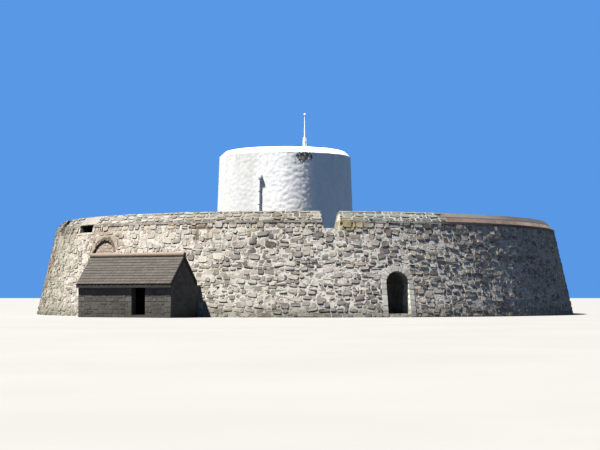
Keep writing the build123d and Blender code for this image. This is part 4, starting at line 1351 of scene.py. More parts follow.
# %% Gateway, on both sides of the rampart
CUT = {"joint": 0.018, "deep": 0.3, "rim": 0.015, "roughness": 0.02, "lump": 0.4}
build(
    "gateway_arch_stones",
    arch_and_jambs(along_ring(GATE_BEARING), GATE_HALF, GATE_RING, GATE_SPRING, 0.02, 11, 31, SCARP_UP),
    ring_stones,
    "arch_stone",
    proud=0.05,
    material=dressed_granite,
    **CUT,
    **ON_SCARP,
)
build(
    "gateway_yard_arch_stones",
    arch_and_jambs(gate_from_inside, GATE_HALF, GATE_RING, GATE_SPRING, YARD_LEVEL, 11, 32),
    ring_stones,
    "arch_stone",
    proud=0.045,
    facing=-1.0,
    material=dressed_granite,
    **CUT,
    **IN_YARD,
)

# %% Walled-up arch and tower doorway
arch_along = along_ring(ARCH_BEARING)
build(
    "walled_arch_stones",
    arch_and_jambs(arch_along, ARCH_HALF, ARCH_RING, ARCH_SPRING, ARCH_FOOT, 11, 33, SCARP_UP, 0.5),
    ring_stones,
    "arch_stone",
    joint=0.07,
    deep=0.3,
    proud=0.05,
    rim=0.035,
    corner=0.22,
    roughness=0.12,
    lump=0.16,
    material=arch_stone,
    **ON_SCARP,
)
build(
    "tower_doorway_arch_stones",
    arch_and_jambs(0, DOOR_HALF, DOOR_RING, DOOR_SPRING, YARD_LEVEL, 9, 34),
    ring_stones,
    "limewash",
    proud=0.03,
    axis_x=TOWER_X,
    radius=TOWER_R,
    lean=TOWER_LEAN,
    arc_radius=TOWER_R,
    material=limewash,
    **CUT,
)

# %% Rubble in the walled-up arch
ARCH_CROWN = ARCH_SPRING + ARCH_HALF


def walled_span(low, high):
    """How wide the walled-up arch is in a course."""
    rise = max(0, high / SCARP_UP - ARCH_SPRING)
    half = sqrt(max(0.04, (ARCH_HALF - 0.02) ** 2 - rise**2))
    return arch_along - half, arch_along + half


infill_low, infill_high = (ARCH_FOOT + 0.02) * SCARP_UP, (ARCH_CROWN - 0.06) * SCARP_UP
build(
    "walled_arch_rubble",
    lay_courses(infill_low, infill_high, walled_span, (0.36, 0.24), 35, skew=5),
    ring_stones,
    "arch_stone",
    joint=0.045,
    proud=-0.085,
    rim=0.02,
    roughness=0.05,
    lump=0.16,
    material=rubble_granite,
    **ON_SCARP,
)

# %% [markdown]
# ## Dressings of the loophole
#
# The loophole is cut down from the coping. It has a long sill and an upright block on each
# side. The lintel that bridges it is dressed further on, with the coping, in two blocks that
# follow the curve of the wall. The photograph shows it as a light line over the black slot.

# %% Loophole dressings
slot_along = along_ring(LOOPHOLE_BEARING)
slot_foot = LOOPHOLE_SILL * SCARP_UP
jamb_high = (COPING_FOOT - LOOPHOLE_SILL) * SCARP_UP
slot_blocks = [Stone(slot_along, slot_foot - 0.08, 2 * LINTEL_HALF, 0.15, 0.4)]
for side in (-1, 1):
    jamb_at = slot_along + side * (LOOPHOLE_HALF + 0.14)
    slot_blocks.append(Stone(jamb_at, slot_foot + jamb_high / 2, 0.26, jamb_high, 0.6))
DRESSING = {"proud": 0.045, "material": dressed_granite, **CUT, **ON_SCARP}
build("loophole_dressings", slot_blocks, ring_stones, "rubble_granite", **DRESSING)

# %% [markdown]
# ## Coping
#
# The photograph shows two kinds of coping. From an upright joint to the right it is long
# slabs of red granite, laid with their nose over the face. From there to the left the slope
# is the same rough rubble as the face, set in mortar, and the face's top course reaches up to
# it, so that the skyline is bumpy. The back can't be seen: the slabs go a third of the way
# round, and the rubble does the rest. Two rows of flat slabs cover the top all the way round.

# %% Helpers: courses of slabs and of rubble
def coping_openings(radius, embrasure_half):
    """Gaps in the coping at the embrasures and the lintel."""
    places = [(bearing, embrasure_half) for bearing in EMBRASURE_BEARINGS] + [(LOOPHOLE_BEARING, LINTEL_HALF)]
    return [square_hole(along_ring(bearing, radius), half, BELOW_ALL, ABOVE_ALL) for bearing, half in places]


def stretch_hole(first, last, radius):
    """A stretch of the ring, between two bearings, as an opening to leave free."""
    middle, half = along_ring((first + last) / 2, radius), radians(last - first) / 2 * radius
    return square_hole(middle, half, BELOW_ALL, ABOVE_ALL)


def slab_courses(radius, width, seed, embrasure_half=0.66, slabs_only=False, rows=1):
    """Rows of slabs round the wall, or only where the coping is made of slabs."""
    around = 2 * pi * radius
    openings = coping_openings(radius, embrasure_half)
    if slabs_only:
        openings.append(stretch_hole(SLABS_END_BEARING, COPING_JOINT_BEARING + 360, radius))
    return lay_courses(0, width, (0, around), (1.05, width / rows), seed, openings, around, uneven=0.2)


def rubble_courses(width, seed):
    """Rough stones on the coping's slope, where it has no slabs."""
    around = 2 * pi * LIP_R
    openings = coping_openings(LIP_R, 0.52)
    openings.append(stretch_hole(COPING_JOINT_BEARING, SLABS_END_BEARING, LIP_R))
    return lay_courses(0, width, (0, around), (0.42, 0.28), seed, openings, around, 0.2, 0.7, 8, 0, 0.8)


# %% Slabs on the nose and the slope
slope_run, slope_rise = LIP_R + NOSE - CREST_R, CREST_LEVEL - LIP_LEVEL
nose_width = (LIP_LEVEL - COPING_FOOT) * SCARP_UP
slope_width = sqrt(slope_run**2 + slope_rise**2)
nose_foot_r = FOOT_R - tan(SCARP_LEAN) * COPING_FOOT + NOSE
SLOPE_LEAN = atan2(slope_run, slope_rise)
ON_NOSE = {"radius": nose_foot_r, "height": COPING_FOOT, "lean": SCARP_LEAN, "arc_radius": LIP_R}
ON_SLOPE = {"radius": LIP_R + NOSE, "height": LIP_LEVEL, "lean": SLOPE_LEAN, "arc_radius": LIP_R}
SLAB = {"joint": 0.02, "deep": 0.1, "proud": 0.014, "loose": 0.004, "rim": 0.012, "material": coping_granite}
nose_slabs = slab_courses(LIP_R, nose_width, 41, 0.58, slabs_only=True)
slope_slabs = slab_courses(LIP_R, slope_width, 41, slabs_only=True, rows=2)
build("coping_nose_slabs", nose_slabs, ring_stones, "coping_granite", roughness=0.02, **ON_NOSE, **SLAB)
build("coping_slope_slabs", slope_slabs, ring_stones, "coping_granite", roughness=0.03, **ON_SLOPE, **SLAB)

# %% Rubble up to the coping and on its slope
reach = Random(46)
reaching_up = []
for stone in top_course:
    over = reach.uniform(-0.03, 0.2)
    long = stone.long * reach.uniform(0.8, 1.04)
    tilt = radians(reach.uniform(-5, 5))
    reaching_up.append(stone._replace(up=stone.up + over / 2, high=stone.high + over, long=long, turn=tilt))
build("upper_scarp_rubble", reaching_up, ring_stones, "rubble_granite", proud=0.06, seed=9, **SCARP_RUBBLE)
build(
    "coping_slope_rubble",
    rubble_courses(slope_width, 45),
    ring_stones,
    "coping_granite",
    joint=0.045,
    proud=0.05,
    loose=0.022,
    corner=0.24,
    roughness=0.08,
    lump=0.17,
    material=coping_rubble,
    **ON_SLOPE,
)

# %% Lintel of the loophole
lintel_foot = (LOOPHOLE_HEAD - LIP_LEVEL) / cos(SLOPE_LEAN) + 0.005
lintel_middle, lintel_high = (lintel_foot + slope_width) / 2, slope_width - lintel_foot
lintel_blocks = []
for aside in (-LINTEL_HALF / 2, LINTEL_HALF / 2):
    block_at = along_ring(LOOPHOLE_BEARING, LIP_R) + aside
    lintel_blocks.append(Stone(block_at, lintel_middle, LINTEL_HALF, lintel_high, 0.9))
build(
    "loophole_lintel_face",
    lintel_blocks,
    ring_stones,
    "coping_granite",
    joint=0.02,
    proud=0.03,
    roughness=0.03,
    lump=0.3,
    material=lintel_granite,
    **ON_SLOPE,
)

# %% Slabs on the top
top_width = CREST_R - PARAPET_R + NOSE
TOP_LEAN = pi / 2 + atan2(BACK_FALL, top_width)
for row in range(2):
    build(
        f"coping_top_slabs_{row + 1}",
        slab_courses(CREST_R, top_width / 2, 42 + row),
        ring_stones,
        "coping_granite",
        radius=CREST_R - row * top_width / 2,
        height=CREST_LEVEL - row * BACK_FALL / 2,
        lean=TOP_LEAN,
        arc_radius=CREST_R,
        roughness=0.025,
        **SLAB,
    )

# %% [markdown]
# ## Paving
#
# Granite flags cover the rampart walk in rings, and the courtyard and the gun platform in
# straight courses that stop at the round walls. A wall strip tipped back by 90 degrees is a
# pavement, so the same trees lay them.

# %% Flags of the rampart walk
FLAG = {"joint": 0.02, "deep": 0.08, "proud": 0.026, "rim": 0.01, "roughness": 0.02, "lump": 0.5}
PAVED = {"material": paving_granite, **FLAG}
LAID_FLAT = (-pi / 2, 0, 0)
walk_around = 2 * pi * PARAPET_R
build(
    "rampart_walk_flags",
    lay_courses(0.02, PARAPET_R - YARD_R, (0, walk_around), (0.95, 0.57), 51, around=walk_around, uneven=0.3),
    ring_stones,
    "paving",
    radius=PARAPET_R,
    height=WALK_LEVEL,
    lean=pi / 2,
    arc_radius=PARAPET_R,
    **PAVED,
)

# %% Flags of the courtyard and the gun platform
def disc_span(centre, radius):
    """Where a course of flags starts and ends inside a round wall."""

    def span(low, high):
        half = sqrt(max(0.05, radius**2 - max(abs(low), abs(high)) ** 2))
        return centre - half, centre + half

    return span


yard_reach, platform_reach = YARD_R - 0.05, TOWER_PLATFORM_R - 0.03
yard_span, platform_span = disc_span(0, yard_reach), disc_span(TOWER_X, platform_reach)
under_tower = disc_hole(TOWER_X, TOWER_R + 0.04, 0)
build(
    "courtyard_flags",
    lay_courses(-yard_reach, yard_reach, yard_span, (1.0, 0.7), 52, [under_tower], uneven=0.35),
    flat_stones,
    "paving",
    place=(0, 0, YARD_LEVEL),
    turn=LAID_FLAT,
    **PAVED,
)
build(
    "gun_platform_flags",
    lay_courses(-platform_reach, platform_reach, platform_span, (0.75, 0.5), 53, uneven=0.3),
    flat_stones,
    "paving",
    place=(0, 0, DECK_LEVEL),
    turn=LAID_FLAT,
    **PAVED,
)

# %% [markdown]
# ## The tower's limewashed skin
#
# Generations of limewash have run the tower's rubble into one lumpy white skin. Separate
# stones would look too sharp here, and a bump in the material alone would leave the edge of
# the shade perfectly straight. So the skin is a real one: a grid is swept round the wall,
# cells of a Voronoi pattern swell out over each buried stone, and the shade breaks on them.

# %% Tree: a lumpy skin on a round wall
# The skin's back lies in the wall, and its front stands a little out of it
SKIN_BURIED, SKIN_THICK = 0.02, 0.028


def limewashed_skin_tree():
    nodes, given, result = new_group(
        "Limewashed skin",
        "GeometryNodeTree",
        [
            GEOMETRY_INPUT,
            ("Low", "Float", 0.0),
            ("High", "Float", 10.0),
            ("Start", "Float", 0.0),
            ("Sweep", "Float", 3.0),
            ("Stone", "Float", 0.4),
            ("Relief", "Float", 0.04),
            ("Columns", "Int", 100),
            ("Rows", "Int", 100),
            MATERIAL_INPUT,
            *RING_INPUTS,
        ],
        GEOMETRY_OUTPUT,
    )
    tall = nodes.minus(given["High"], given["Low"])
    size = {"Size X": given["Sweep"], "Size Y": tall}
    meshing = {"Vertices X": given["Columns"], "Vertices Y": given["Rows"]}
    grid = nodes.get("GeometryNodeMeshGrid", {**size, **meshing})
    x, y, _ = nodes.split(nodes.get("GeometryNodeInputPosition"))
    turn = nodes.plus(nodes.times_plus(given["Sweep"], 0.5, x), given["Start"])
    along = nodes.times(turn, given["Arc Radius"])
    up = nodes.plus(y, nodes.times(nodes.plus(given["Low"], given["High"]), 0.5))
    buried = nodes.move(grid, nodes.join(along, SKIN_BURIED, up))
    outwards = nodes.join(0.0, -SKIN_THICK, 0.0)
    swept = nodes.get("GeometryNodeExtrudeMesh", {"Mesh": buried, "Offset": outwards, "Individual": False})

    # Each buried stone is a cell of a pattern that noise has warped
    x, y, z = nodes.split(nodes.get("GeometryNodeInputPosition"))
    on_face = nodes.math("LESS_THAN", y, 0.0)
    flat_place = nodes.join(x, nodes.times(z, 1.45), 0.0)
    warp = nodes.get("ShaderNodeTexNoise", {"Vector": flat_place, "Scale": 1.3, "Detail": 2.0}, 1)
    flat_place = nodes.vector("ADD", flat_place, nodes.vector("SCALE", warp, 0.35))
    cells = nodes.get(
        "ShaderNodeTexVoronoi",
        {"Vector": flat_place, "Scale": nodes.math("DIVIDE", 1.0, given["Stone"]), "Smoothness": 0.35},
        0,
        feature="SMOOTH_F1",
        voronoi_dimensions="2D",
    )
    swell = nodes.times_plus(cells, -1.15, 1.0)
    drift = nodes.get("ShaderNodeTexNoise", {"Vector": flat_place, "Scale": 0.8, "Detail": 3.0}, 0)
    relief = nodes.times_plus(swell, 0.75, nodes.times(drift, 0.25))
    proud = nodes.times(nodes.math("MAXIMUM", relief, 0.0), given["Relief"])
    lumps = nodes.join(0.0, nodes.times(proud, on_face, -1.0), 0.0)
    swept = nodes.get("GeometryNodeSetPosition", {"Geometry": swept, "Offset": lumps})

    # The buried grid, turned round, closes the skin from behind
    both = nodes.add("GeometryNodeJoinGeometry")
    nodes.feed(both, "Geometry", swept)
    nodes.feed(both, "Geometry", nodes.get("GeometryNodeFlipFaces", {"Mesh": buried}))
    closed = nodes.get("GeometryNodeMergeByDistance", {"Geometry": both.outputs[0], "Distance": 0.0005})
    return finish_tree(nodes, given, result, place_group(nodes, bend_round, closed, given, RING_LABELS))


skin_tree = limewashed_skin_tree()

# %% Stretches of skin on the tower's wall
SKIN_MESH = 0.088


def build_skin(name, low, high, start, sweep):
    """One stretch of the tower's skin. Its start and sweep are angles in radians."""
    seed_point = bpy.data.meshes.new(name)
    settings = {
        "Low": low,
        "High": high,
        "Start": start,
        "Sweep": sweep,
        "Stone": 0.3,
        "Relief": 0.026,
        "Columns": max(3, round(sweep * TOWER_R / SKIN_MESH)),
        "Rows": max(3, round((high - low) / SKIN_MESH)),
        "Material": limewash,
        "Axis X": TOWER_X,
        "Radius": TOWER_R,
        "Height": 0.0,
        "Lean": TOWER_LEAN,
        "Arc Radius": TOWER_R,
        "Facing": 1.0,
    }
    return link_piece(name, run_tree(name, seed_point, skin_tree, settings), "limewash")


TOWER_UP = 1 / cos(TOWER_LEAN)
DOOR_TOP = (DOOR_SPRING + DOOR_HALF + DOOR_RING + 0.02) * TOWER_UP
third = 2 * pi / 3
for number in range(3):
    build_skin(f"tower_skin_{number + 1}", DOOR_TOP, TOWER_LIP * TOWER_UP, third * (number - 0.5), third)
door_turn = (DOOR_HALF + DOOR_RING) / TOWER_R
build_skin("tower_skin_foot", YARD_LEVEL, DOOR_TOP, door_turn, 2 * pi - 2 * door_turn)

# %% [markdown]
# The tower's top is one rounded cap of limewashed mortar over the parapet: a steep slope
# outside, a level top, and the inner face. It is a profile turned round the tower's axis. The
# corners are rounded in the profile, and a little noise keeps the ring from looking machined.

# %% Helpers: a turned ring, and the end of a hand-made shape
RING_LUMP = 0.7
# Without a seed of its own this noise would be another one each time
noise.seed_set(1)


def turned_ring(profile, segments, centre, unevenness):
    """A closed ring from a profile of radii and heights, with its surface a little uneven."""
    shape = bmesh.new()
    rings = []
    for step in range(segments):
        turn = 2 * pi * step / segments
        ring = []
        for radius, height in profile:
            place = Vector(centre) + Vector((radius * sin(turn), -radius * cos(turn), height))
            push = noise.noise_vector(place / RING_LUMP) * unevenness
            ring.append(shape.verts.new(place + push))
        rings.append(ring)
    for step in range(segments):
        here, there = rings[step], rings[(step + 1) % segments]
        for index in range(len(profile)):
            after = (index + 1) % len(profile)
            shape.faces.new((here[index], there[index], there[after], here[after]))
    bmesh.ops.recalc_face_normals(shape, faces=shape.faces)
    for face in shape.faces:
        face.smooth = True
    return shape


def finish_shape(name, shape, slot, material):
    """Ends a shape that was made in bmesh as a piece."""
    mesh = bpy.data.meshes.new(name)
    shape.to_mesh(mesh)
    shape.free()
    mesh.materials.append(material)
    return link_piece(name, mesh, slot)


# %% The tower's cap
SKIN = 0.022
cap_profile = (
    (TOWER_LIP_R + SKIN - 0.016, TOWER_LIP - 0.35),
    (TOWER_LIP_R + SKIN - 0.008, TOWER_LIP - 0.2),
    (TOWER_LIP_R + SKIN + 0.002, TOWER_LIP - 0.06),
    (TOWER_LIP_R + SKIN - 0.002, TOWER_LIP + 0.02),
    (TOWER_LIP_R - 0.08, TOWER_LIP + 0.105),
    (TOWER_LIP_R - 0.22, TOWER_LIP + 0.23),
    (TOWER_CREST_R + 0.05, TOWER_CREST - 0.012),
    (TOWER_CREST_R - 0.02, TOWER_CREST + SKIN - 0.004),
    (TOWER_CREST_R - 0.12, TOWER_CREST + SKIN),
    (TOWER_PLATFORM_R + 0.4, TOWER_CREST + SKIN),
    (TOWER_PLATFORM_R + 0.06, TOWER_CREST + SKIN - 0.003),
    (TOWER_PLATFORM_R - 0.012, TOWER_CREST - 0.02),
    (TOWER_PLATFORM_R - SKIN, TOWER_CREST - 0.12),
    (TOWER_PLATFORM_R - SKIN, TOWER_CREST - 0.5),
    (TOWER_PLATFORM_R - SKIN, DECK_LEVEL + 0.01),
    (TOWER_PLATFORM_R + 0.04, DECK_LEVEL + 0.01),
    (TOWER_PLATFORM_R + 0.06, TOWER_CREST - 0.1),
    (TOWER_CREST_R - 0.1, TOWER_CREST - 0.08),
    (TOWER_LIP_R - 0.12, TOWER_LIP - 0.06),
    (TOWER_LIP_R - 0.03, TOWER_LIP - 0.35),
)
cap = turned_ring(cap_profile, 240, (TOWER_X, 0, 0), 0.016)
finish_shape("tower_cap", cap, "limewash", limewash)

# %% [markdown]
# ## The guardhouse
#
# The house leans its back on the battery, so its walls are flat strips with a place and a
# turn of their own. `house_place` changes the house's own measures, along, in and up, into
# the fort's. Larger blocks, long and short in turn, bind the corners and the doorway.

# %% Helpers: places on the house, and blocks up its corners
HOUSE_TURN = radians(HOUSE_BEARING)
LONG_BLOCK, SHORT_BLOCK, CORNER_BLOCK_HIGH, FILLER = 0.42, 0.24, 0.28, 0.18


def house_place(along, inwards, up):
    """A point given by how far it is along the house, in towards the battery, and up."""
    axis_x = Vector((cos(HOUSE_TURN), sin(HOUSE_TURN), 0))
    axis_y = Vector((-sin(HOUSE_TURN), cos(HOUSE_TURN), 0))
    foot = Vector((FOOT_R * sin(HOUSE_TURN), -FOOT_R * cos(HOUSE_TURN), up))
    return foot + axis_x * along + axis_y * inwards


def scarp_behind(along, level):
    """How far in the battery's face is behind the house's back line."""
    radius = FOOT_R - tan(SCARP_LEAN) * level
    return FOOT_R - sqrt(radius**2 - along**2)


def corner_blocks(edge, direction, low, high, first, seed):
    """Long and short blocks up a corner; edge is where the corner is on the strip."""
    chance = Random(seed)
    count = round((high - low) / CORNER_BLOCK_HIGH)
    tall = (high - low) / count
    blocks = []
    for index in range(count):
        is_long = (index + first) % 2
        long = LONG_BLOCK if is_long else SHORT_BLOCK
        up = low + (index + 0.5) * tall
        tint = 0.6 + 0.4 * chance.random()
        blocks.append(Stone(edge + direction * long / 2, up, long, tall, tint))
        if not is_long:
            middle = edge + direction * (long + FILLER / 2)
            blocks.append(Stone(middle, up, FILLER, tall, chance.random()))
    return blocks


# %% Front of the guardhouse
door_along = HOUSE_DOOR_AT - HOUSE_LEFT
front_top, door_top = HOUSE_EAVES - 0.05, HOUSE_DOOR_HEAD - 0.05
beside_door = square_hole(door_along, HOUSE_DOOR_HALF + LONG_BLOCK, BELOW_ALL, ABOVE_ALL)
HOUSE_RUBBLE = {"joint": 0.03, "deep": 0.09, "proud": 0.025, "rim": 0.016, "roughness": 0.04, "lump": 0.2}
between = (LONG_BLOCK, HOUSE_LONG - LONG_BLOCK)
front_courses = lay_courses(0, front_top, between, (0.38, 0.23), 61, [beside_door], split=0.15, skew=3)
front_blocks = [
    *corner_blocks(0, 1, 0, front_top, 0, 62),
    *corner_blocks(HOUSE_LONG, -1, 0, front_top, 1, 63),
    *corner_blocks(door_along - HOUSE_DOOR_HALF, -1, 0.0, door_top, 0, 64),
    *corner_blocks(door_along + HOUSE_DOOR_HALF, 1, 0.0, door_top, 1, 65),
]
build(
    "guardhouse_front_stones",
    front_courses + front_blocks,
    flat_stones,
    "house_granite",
    place=house_place(HOUSE_LEFT, -HOUSE_DEPTH, 0),
    turn=(0, 0, HOUSE_TURN),
    material=house_granite,
    **HOUSE_RUBBLE,
)

# %% Gables of the guardhouse
gable_top = HOUSE_EAVES + HOUSE_DEPTH / 2 * PITCH_RISE - 0.06
# The strip of the left gable runs from the battery to the front, and that of the right one
# back: the name, the place along the house, the direction, and where the front is
for name, along, direction, front_edge in (
    ("left", HOUSE_LEFT, -1, HOUSE_DEPTH),
    ("right", HOUSE_RIGHT, 1, 0.0),
):

    def gable_span(low, high):
        """Where a course of the gable starts and ends on its strip."""
        if high > HOUSE_EAVES:
            half = max(0.05, HOUSE_DEPTH / 2 - (high - HOUSE_EAVES) / PITCH_RISE)
            return HOUSE_DEPTH / 2 - half, HOUSE_DEPTH / 2 + half
        behind = scarp_behind(along, low) - 0.06
        if direction < 0:
            return -behind, HOUSE_DEPTH - LONG_BLOCK
        return LONG_BLOCK, HOUSE_DEPTH + behind

    lower = lay_courses(0.0, HOUSE_EAVES, gable_span, (0.38, 0.23), 66 + direction, split=0.15, skew=3)
    upper = lay_courses(HOUSE_EAVES, gable_top, gable_span, (0.36, 0.22), 70 + direction, skew=3)
    corner = corner_blocks(front_edge, direction, 0, HOUSE_EAVES, 1, 67)
    inwards = 0 if direction < 0 else -HOUSE_DEPTH
    build(
        f"guardhouse_{name}_gable_stones",
        lower + upper + corner,
        flat_stones,
        "house_granite",
        place=house_place(along, inwards, 0),
        turn=(0, 0, HOUSE_TURN + direction * pi / 2),
        material=house_granite,
        **HOUSE_RUBBLE,
    )

# %% [markdown]
# ## The slates and the ridge
#
# Each slate lies on the one below, so its lower edge stands proud. The courses keep their
# height up to the ridge. The ridge itself is a row of half-round pieces bedded in mortar,
# lighter and warmer than the slates.

# %% Slates
ROOF_LONG = HOUSE_LONG + 2 * VERGE_OVERHANG
UNDER_RIDGE = 0.12


def lay_slates(run, seed):
    """Slates for one slope, from its eaves to the ridge; run is how far it goes in plan."""
    up_slope = run / cos(radians(HOUSE_PITCH)) - UNDER_RIDGE
    courses = lay_courses(0, up_slope, (0.02, ROOF_LONG - 0.02), (0.34, 0.21), seed, uneven=0.3, skew=1)
    return [s._replace(up=s.up + 0.02, high=s.high * 1.3, lean=0.03) for s in courses]


SLATES = {"joint": 0.008, "deep": 0.026, "proud": 0.026, "loose": 0.002, "rim": 0.004}
SLATED = {"roughness": 0.012, "lump": 0.25, "material": slate_stone, **SLATES}
front_eaves = HOUSE_EAVES - EAVES_OVERHANG * PITCH_RISE + ROOF_UPRIGHT
front_corner = house_place(HOUSE_LEFT - VERGE_OVERHANG, -HOUSE_DEPTH - EAVES_OVERHANG, front_eaves)
rear_corner = house_place(HOUSE_RIGHT + VERGE_OVERHANG, 0, HOUSE_EAVES + ROOF_UPRIGHT)
for name, run, seed, corner, turn in (
    ("front", HOUSE_DEPTH / 2 + EAVES_OVERHANG, 81, front_corner, HOUSE_TURN),
    ("rear", HOUSE_DEPTH / 2, 82, rear_corner, HOUSE_TURN + pi),
):
    build(
        f"guardhouse_{name}_slates",
        lay_slates(run, seed),
        flat_stones,
        "roof_slab",
        place=corner,
        turn=(radians(HOUSE_PITCH) - pi / 2, 0, turn),
        **SLATED,
    )

# %% Ridge pieces
RIDGE_R = 0.14
RIDGE_COUNT = 13
# Each piece goes round from 42 degrees below the level on one side to 42 on the other
RIDGE_FROM, RIDGE_ROUND, RIDGE_STEPS = -42, 264, 12


def ridge_end(along, thick, tilt):
    """The points of one end of a piece: round the outside, and back round the inside."""
    steps = range(RIDGE_STEPS + 1)
    points = []
    for radius, order in ((RIDGE_R + thick, steps), (RIDGE_R - 0.02, reversed(steps))):
        for step in order:
            angle = radians(RIDGE_FROM + RIDGE_ROUND * step / RIDGE_STEPS)
            inwards = -HOUSE_DEPTH / 2 + radius * cos(angle)
            points.append(house_place(along, inwards, RIDGE_LEVEL + radius * sin(angle) + tilt))
    return points


def ridge_shape():
    """Half-round ridge pieces, each a closed shell that is a little thicker at one end."""
    shape = bmesh.new()
    chance = Random(83)
    piece_long = ROOF_LONG / RIDGE_COUNT
    for index in range(RIDGE_COUNT):
        start = HOUSE_LEFT - VERGE_OVERHANG + index * piece_long
        ends = []
        for along, thick in ((start + 0.005, 0.026), (start + piece_long - 0.005, 0.016)):
            points = ridge_end(along, thick, chance.uniform(-0.004, 0.004))
            ends.append([shape.verts.new(point) for point in points])
        first, last = ends
        for corner in range(len(first)):
            after = (corner + 1) % len(first)
            shape.faces.new((first[corner], first[after], last[after], last[corner]))
        half = len(first) // 2
        for ring in ends:
            for corner in range(half - 1):
                other = len(ring) - 1 - corner
                shape.faces.new((ring[corner], ring[corner + 1], ring[other - 1], ring[other]))
    bmesh.ops.recalc_face_normals(shape, faces=shape.faces)
    tint = shape.verts.layers.float.new("tint")
    for vertex in shape.verts:
        vertex[tint] = 0.5
    return shape


finish_shape("guardhouse_ridge_pieces", ridge_shape(), "roof_slab", ridge_mortar)

# %% [markdown]
# ## Collars on the rainwater pipe
#
# Cast pipe comes in lengths that slip into each other, and each joint has a collar. They are
# turned rings that lean with the pipe.

# %% Pipe collars
PIPE_R = 0.055
PIPE_OUT = 0.06 + PIPE_R
PIPE_FOOT, PIPE_TOP = 0.5, TOWER_LIP - 1.8
PIPE_LENGTHS = 5


def pipe_matrix(level):
    """Turns a ring to stand square to the pipe at a level."""
    turn = radians(PIPE_BEARING)
    radius = TOWER_R - tan(TOWER_LEAN) * level + PIPE_OUT
    place = Matrix.Translation((TOWER_X + radius * sin(turn), -radius * cos(turn), level))
    return place @ Matrix.Rotation(turn, 4, "Z") @ Matrix.Rotation(-TOWER_LEAN, 4, "X")


collar_profile = (
    (PIPE_R - 0.004, -0.05),
    (PIPE_R + 0.004, -0.05),
    (PIPE_R + 0.014, -0.04),
    (PIPE_R + 0.014, 0.025),
    (PIPE_R + 0.02, 0.032),
    (PIPE_R + 0.02, 0.05),
    (PIPE_R + 0.012, 0.056),
    (PIPE_R - 0.004, 0.056),
)
collars = bmesh.new()
for number in range(1, PIPE_LENGTHS):
    collar = turned_ring(collar_profile, 20, (0, 0, 0), 0.0)
    level = PIPE_FOOT + (PIPE_TOP - PIPE_FOOT) * number / PIPE_LENGTHS
    bmesh.ops.transform(collar, matrix=pipe_matrix(level), verts=collar.verts)
    spare = bpy.data.meshes.new("collar")
    collar.to_mesh(spare)
    collars.from_mesh(spare)
    collar.free()
    bpy.data.meshes.remove(spare)
finish_shape("downpipe_collars", collars, "grey_iron", grey_iron)

# %% [markdown]
# ## Finishes of the CAD nodes
#
# The solids keep their shape and get their finish here. Where stones cover them, they are
# the mortar bed that shows between the stones.

# %% Materials of the beds under slates, flags and house stones
def bed_material(name, dark, middle, light, growth=None, tone=WALL_TONE):
    """Mortar or bedding: lumpy, gritty and blotched. Growth brings the weather."""
    material, nodes, shader = new_material(name)
    point = object_point(nodes)
    grit = nodes.noise(point, 0.04, 5, 0.7)
    lumps = nodes.noise(point, 0.4, 4)
    both = nodes.plus(grit, lumps)
    base = nodes.ramp(nodes.times(both, 0.5), (0.35, dark), (0.5, middle), (0.65, light))
    if growth is not None:
        base = nodes.group(battery_weather, color=base, growth=growth, tone=tone)["Color"]
    finish_with(nodes, shader, base, 0.93, both, 0.015)
    return material


BED_SHADES = {
    "house_mortar": (colour(0.26, 0.23, 0.19), colour(0.40, 0.36, 0.31), colour(0.52, 0.48, 0.42)),
    "slate_bed": (colour(0.08, 0.07, 0.06), colour(0.14, 0.12, 0.10), colour(0.20, 0.175, 0.15)),
    "paving_bed": (colour(0.05, 0.05, 0.04), colour(0.08, 0.078, 0.065), colour(0.12, 0.115, 0.10)),
    "arch_bed": (colour(0.30, 0.24, 0.18), colour(0.44, 0.37, 0.29), colour(0.56, 0.49, 0.40)),
}
house_mortar = bed_material("house_mortar", *BED_SHADES["house_mortar"], growth=0.5, tone=HOUSE_TONE)
slate_bed = bed_material("slate_bed", *BED_SHADES["slate_bed"], growth=0.3, tone=ROOF_TONE)
paving_bed = bed_material("paving_bed", *BED_SHADES["paving_bed"])
arch_bed = bed_material("arch_bed", *BED_SHADES["arch_bed"], growth=0.4)

# %% Give every node its finish
# The first line whose words begin a node's name gives its finish
NODE_FINISHES = (
    ("rampart", battery_mortar),
    ("parapet", battery_mortar),
    ("loophole_lintel", coping_mortar),
    ("coping_1", coping_granite),
    ("coping_2", coping_granite),
    ("coping", coping_mortar),
    ("gate_arch", arch_bed),
    ("walled_arch", arch_bed),
    ("courtyard_floor", paving_bed),
    ("tower_floor", paving_bed),
    ("tower_deck", paving_bed),
    ("tower_vault", old_plaster),
    ("tower", limewash),
    ("downpipe", grey_iron),
    ("pipe_clips", black_iron),
    ("staff_tabernacle", grey_iron),
    ("flagstaff", white_paint),
    ("guardhouse_floor", paving_bed),
    ("guardhouse_front_roof", slate_bed),
    ("guardhouse_rear_roof", slate_bed),
    ("guardhouse_ridge", ridge_mortar),
    ("guardhouse", house_mortar),
)
for name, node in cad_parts.items():
    finish = next(material for start, material in NODE_FINISHES if name.startswith(start))
    if not node.material_slots:
        node.data.materials.append(finish)
    for place in node.material_slots:
        place.material = finish
print(len(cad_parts), "nodes finished,", sum(made.values()), "triangles added")

# %% [markdown]
# ## The studio
#
# A pale floor and a plain blue backdrop keep the eye on the fort. The key light stands high
# and far off to the left, as in the photograph, and the room fills the shade with a cool
# light. A pale floor would throw its light up into the shade, so for bounced light alone it
# is a dark one. The camera looks from the landward side: low, almost level and so far away
# that the round walls don't bulge.

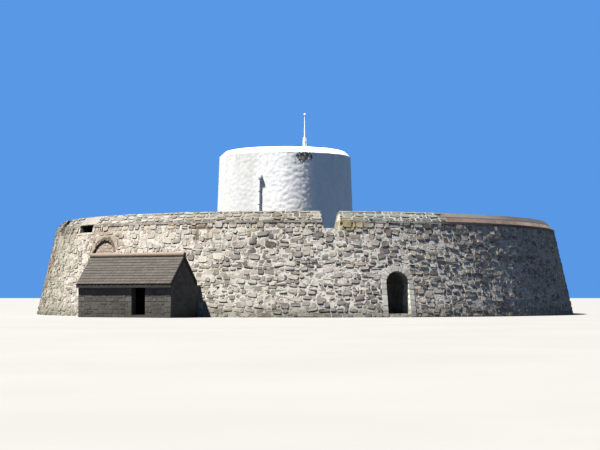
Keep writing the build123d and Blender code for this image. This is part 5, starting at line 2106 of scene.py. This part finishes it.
# %% Floor
def pale_floor_material():
    material, nodes, shader = new_material("pale_floor")
    point = object_point(nodes)
    dull, bright = colour(0.165, 0.165, 0.163), colour(0.175, 0.175, 0.173)
    base = nodes.ramp(nodes.noise(point, 6.0, 3), (0.35, dull), (0.65, bright))
    bounced = nodes.get("ShaderNodeLightPath", output="Is Diffuse Ray")
    base = nodes.mix(bounced, base, colour(0.012, 0.014, 0.018))
    finish_with(nodes, shader, base, 0.85, nodes.noise(point, 0.5, 4), 0.002)
    return material


FLOOR_REACH, FLOOR_BELOW = 900, 0.002
floor_shape = bmesh.new()
bmesh.ops.create_grid(floor_shape, x_segments=4, y_segments=4, size=FLOOR_REACH)
floor_mesh = bpy.data.meshes.new("floor")
floor_shape.to_mesh(floor_mesh)
floor_shape.free()
floor_mesh.materials.append(pale_floor_material())
floor = bpy.data.objects.new("floor", floor_mesh)
floor.location.z = -FLOOR_BELOW
bpy.context.scene.collection.objects.link(floor)

# %% Key light
SUN_BEARING, SUN_HEIGHT = -72.5, 67
sun_data = bpy.data.lights.new("key", "SUN")
sun_data.energy = 17.5
sun_data.angle = radians(2)
sun_data.color = (1.0, 0.95, 0.87)
sun = bpy.data.objects.new("key", sun_data)
sun.rotation_euler = (radians(90 - SUN_HEIGHT), 0, radians(SUN_BEARING))
bpy.context.scene.collection.objects.link(sun)
print("key light:", SUN_HEIGHT, "degrees up, at bearing", SUN_BEARING)

# %% Room: one colour fills the shade, and another is what the camera sees
room = bpy.data.worlds.new("room")
room.use_nodes = True
room_nodes = Nodes(room.node_tree)
room.node_tree.nodes.clear()
fill = room_nodes.get("ShaderNodeBackground", {"Color": colour(0.25, 0.5, 1.0), "Strength": 0.3})
backdrop = room_nodes.get("ShaderNodeBackground", {"Color": colour(0.10, 0.315, 0.78), "Strength": 1.0})
seen = room_nodes.get("ShaderNodeLightPath", output="Is Camera Ray")
shown = room_nodes.get("ShaderNodeMixShader", {0: seen, 1: fill, 2: backdrop})
room_nodes.add("ShaderNodeOutputWorld", {"Surface": shown})
bpy.context.scene.world = room
bpy.context.scene.view_settings.view_transform = "Standard"

# %% Camera
CAMERA_PLACE = Vector((1.63, -100.3, 1.2))
AIM = Vector((-0.35, 0, 6.2))
camera_data = bpy.data.cameras.new("landward_view")
camera_data.lens = 86
camera_data.sensor_width = 36
camera_data.clip_end = 2000
camera = bpy.data.objects.new("landward_view", camera_data)
camera.location = CAMERA_PLACE
camera.rotation_euler = (AIM - CAMERA_PLACE).to_track_quat("-Z", "Y").to_euler()
bpy.context.scene.collection.objects.link(camera)
bpy.context.scene.camera = camera
print(f"camera {-CAMERA_PLACE.y:.0f} m away, with a lens of {camera_data.lens:.0f} mm")
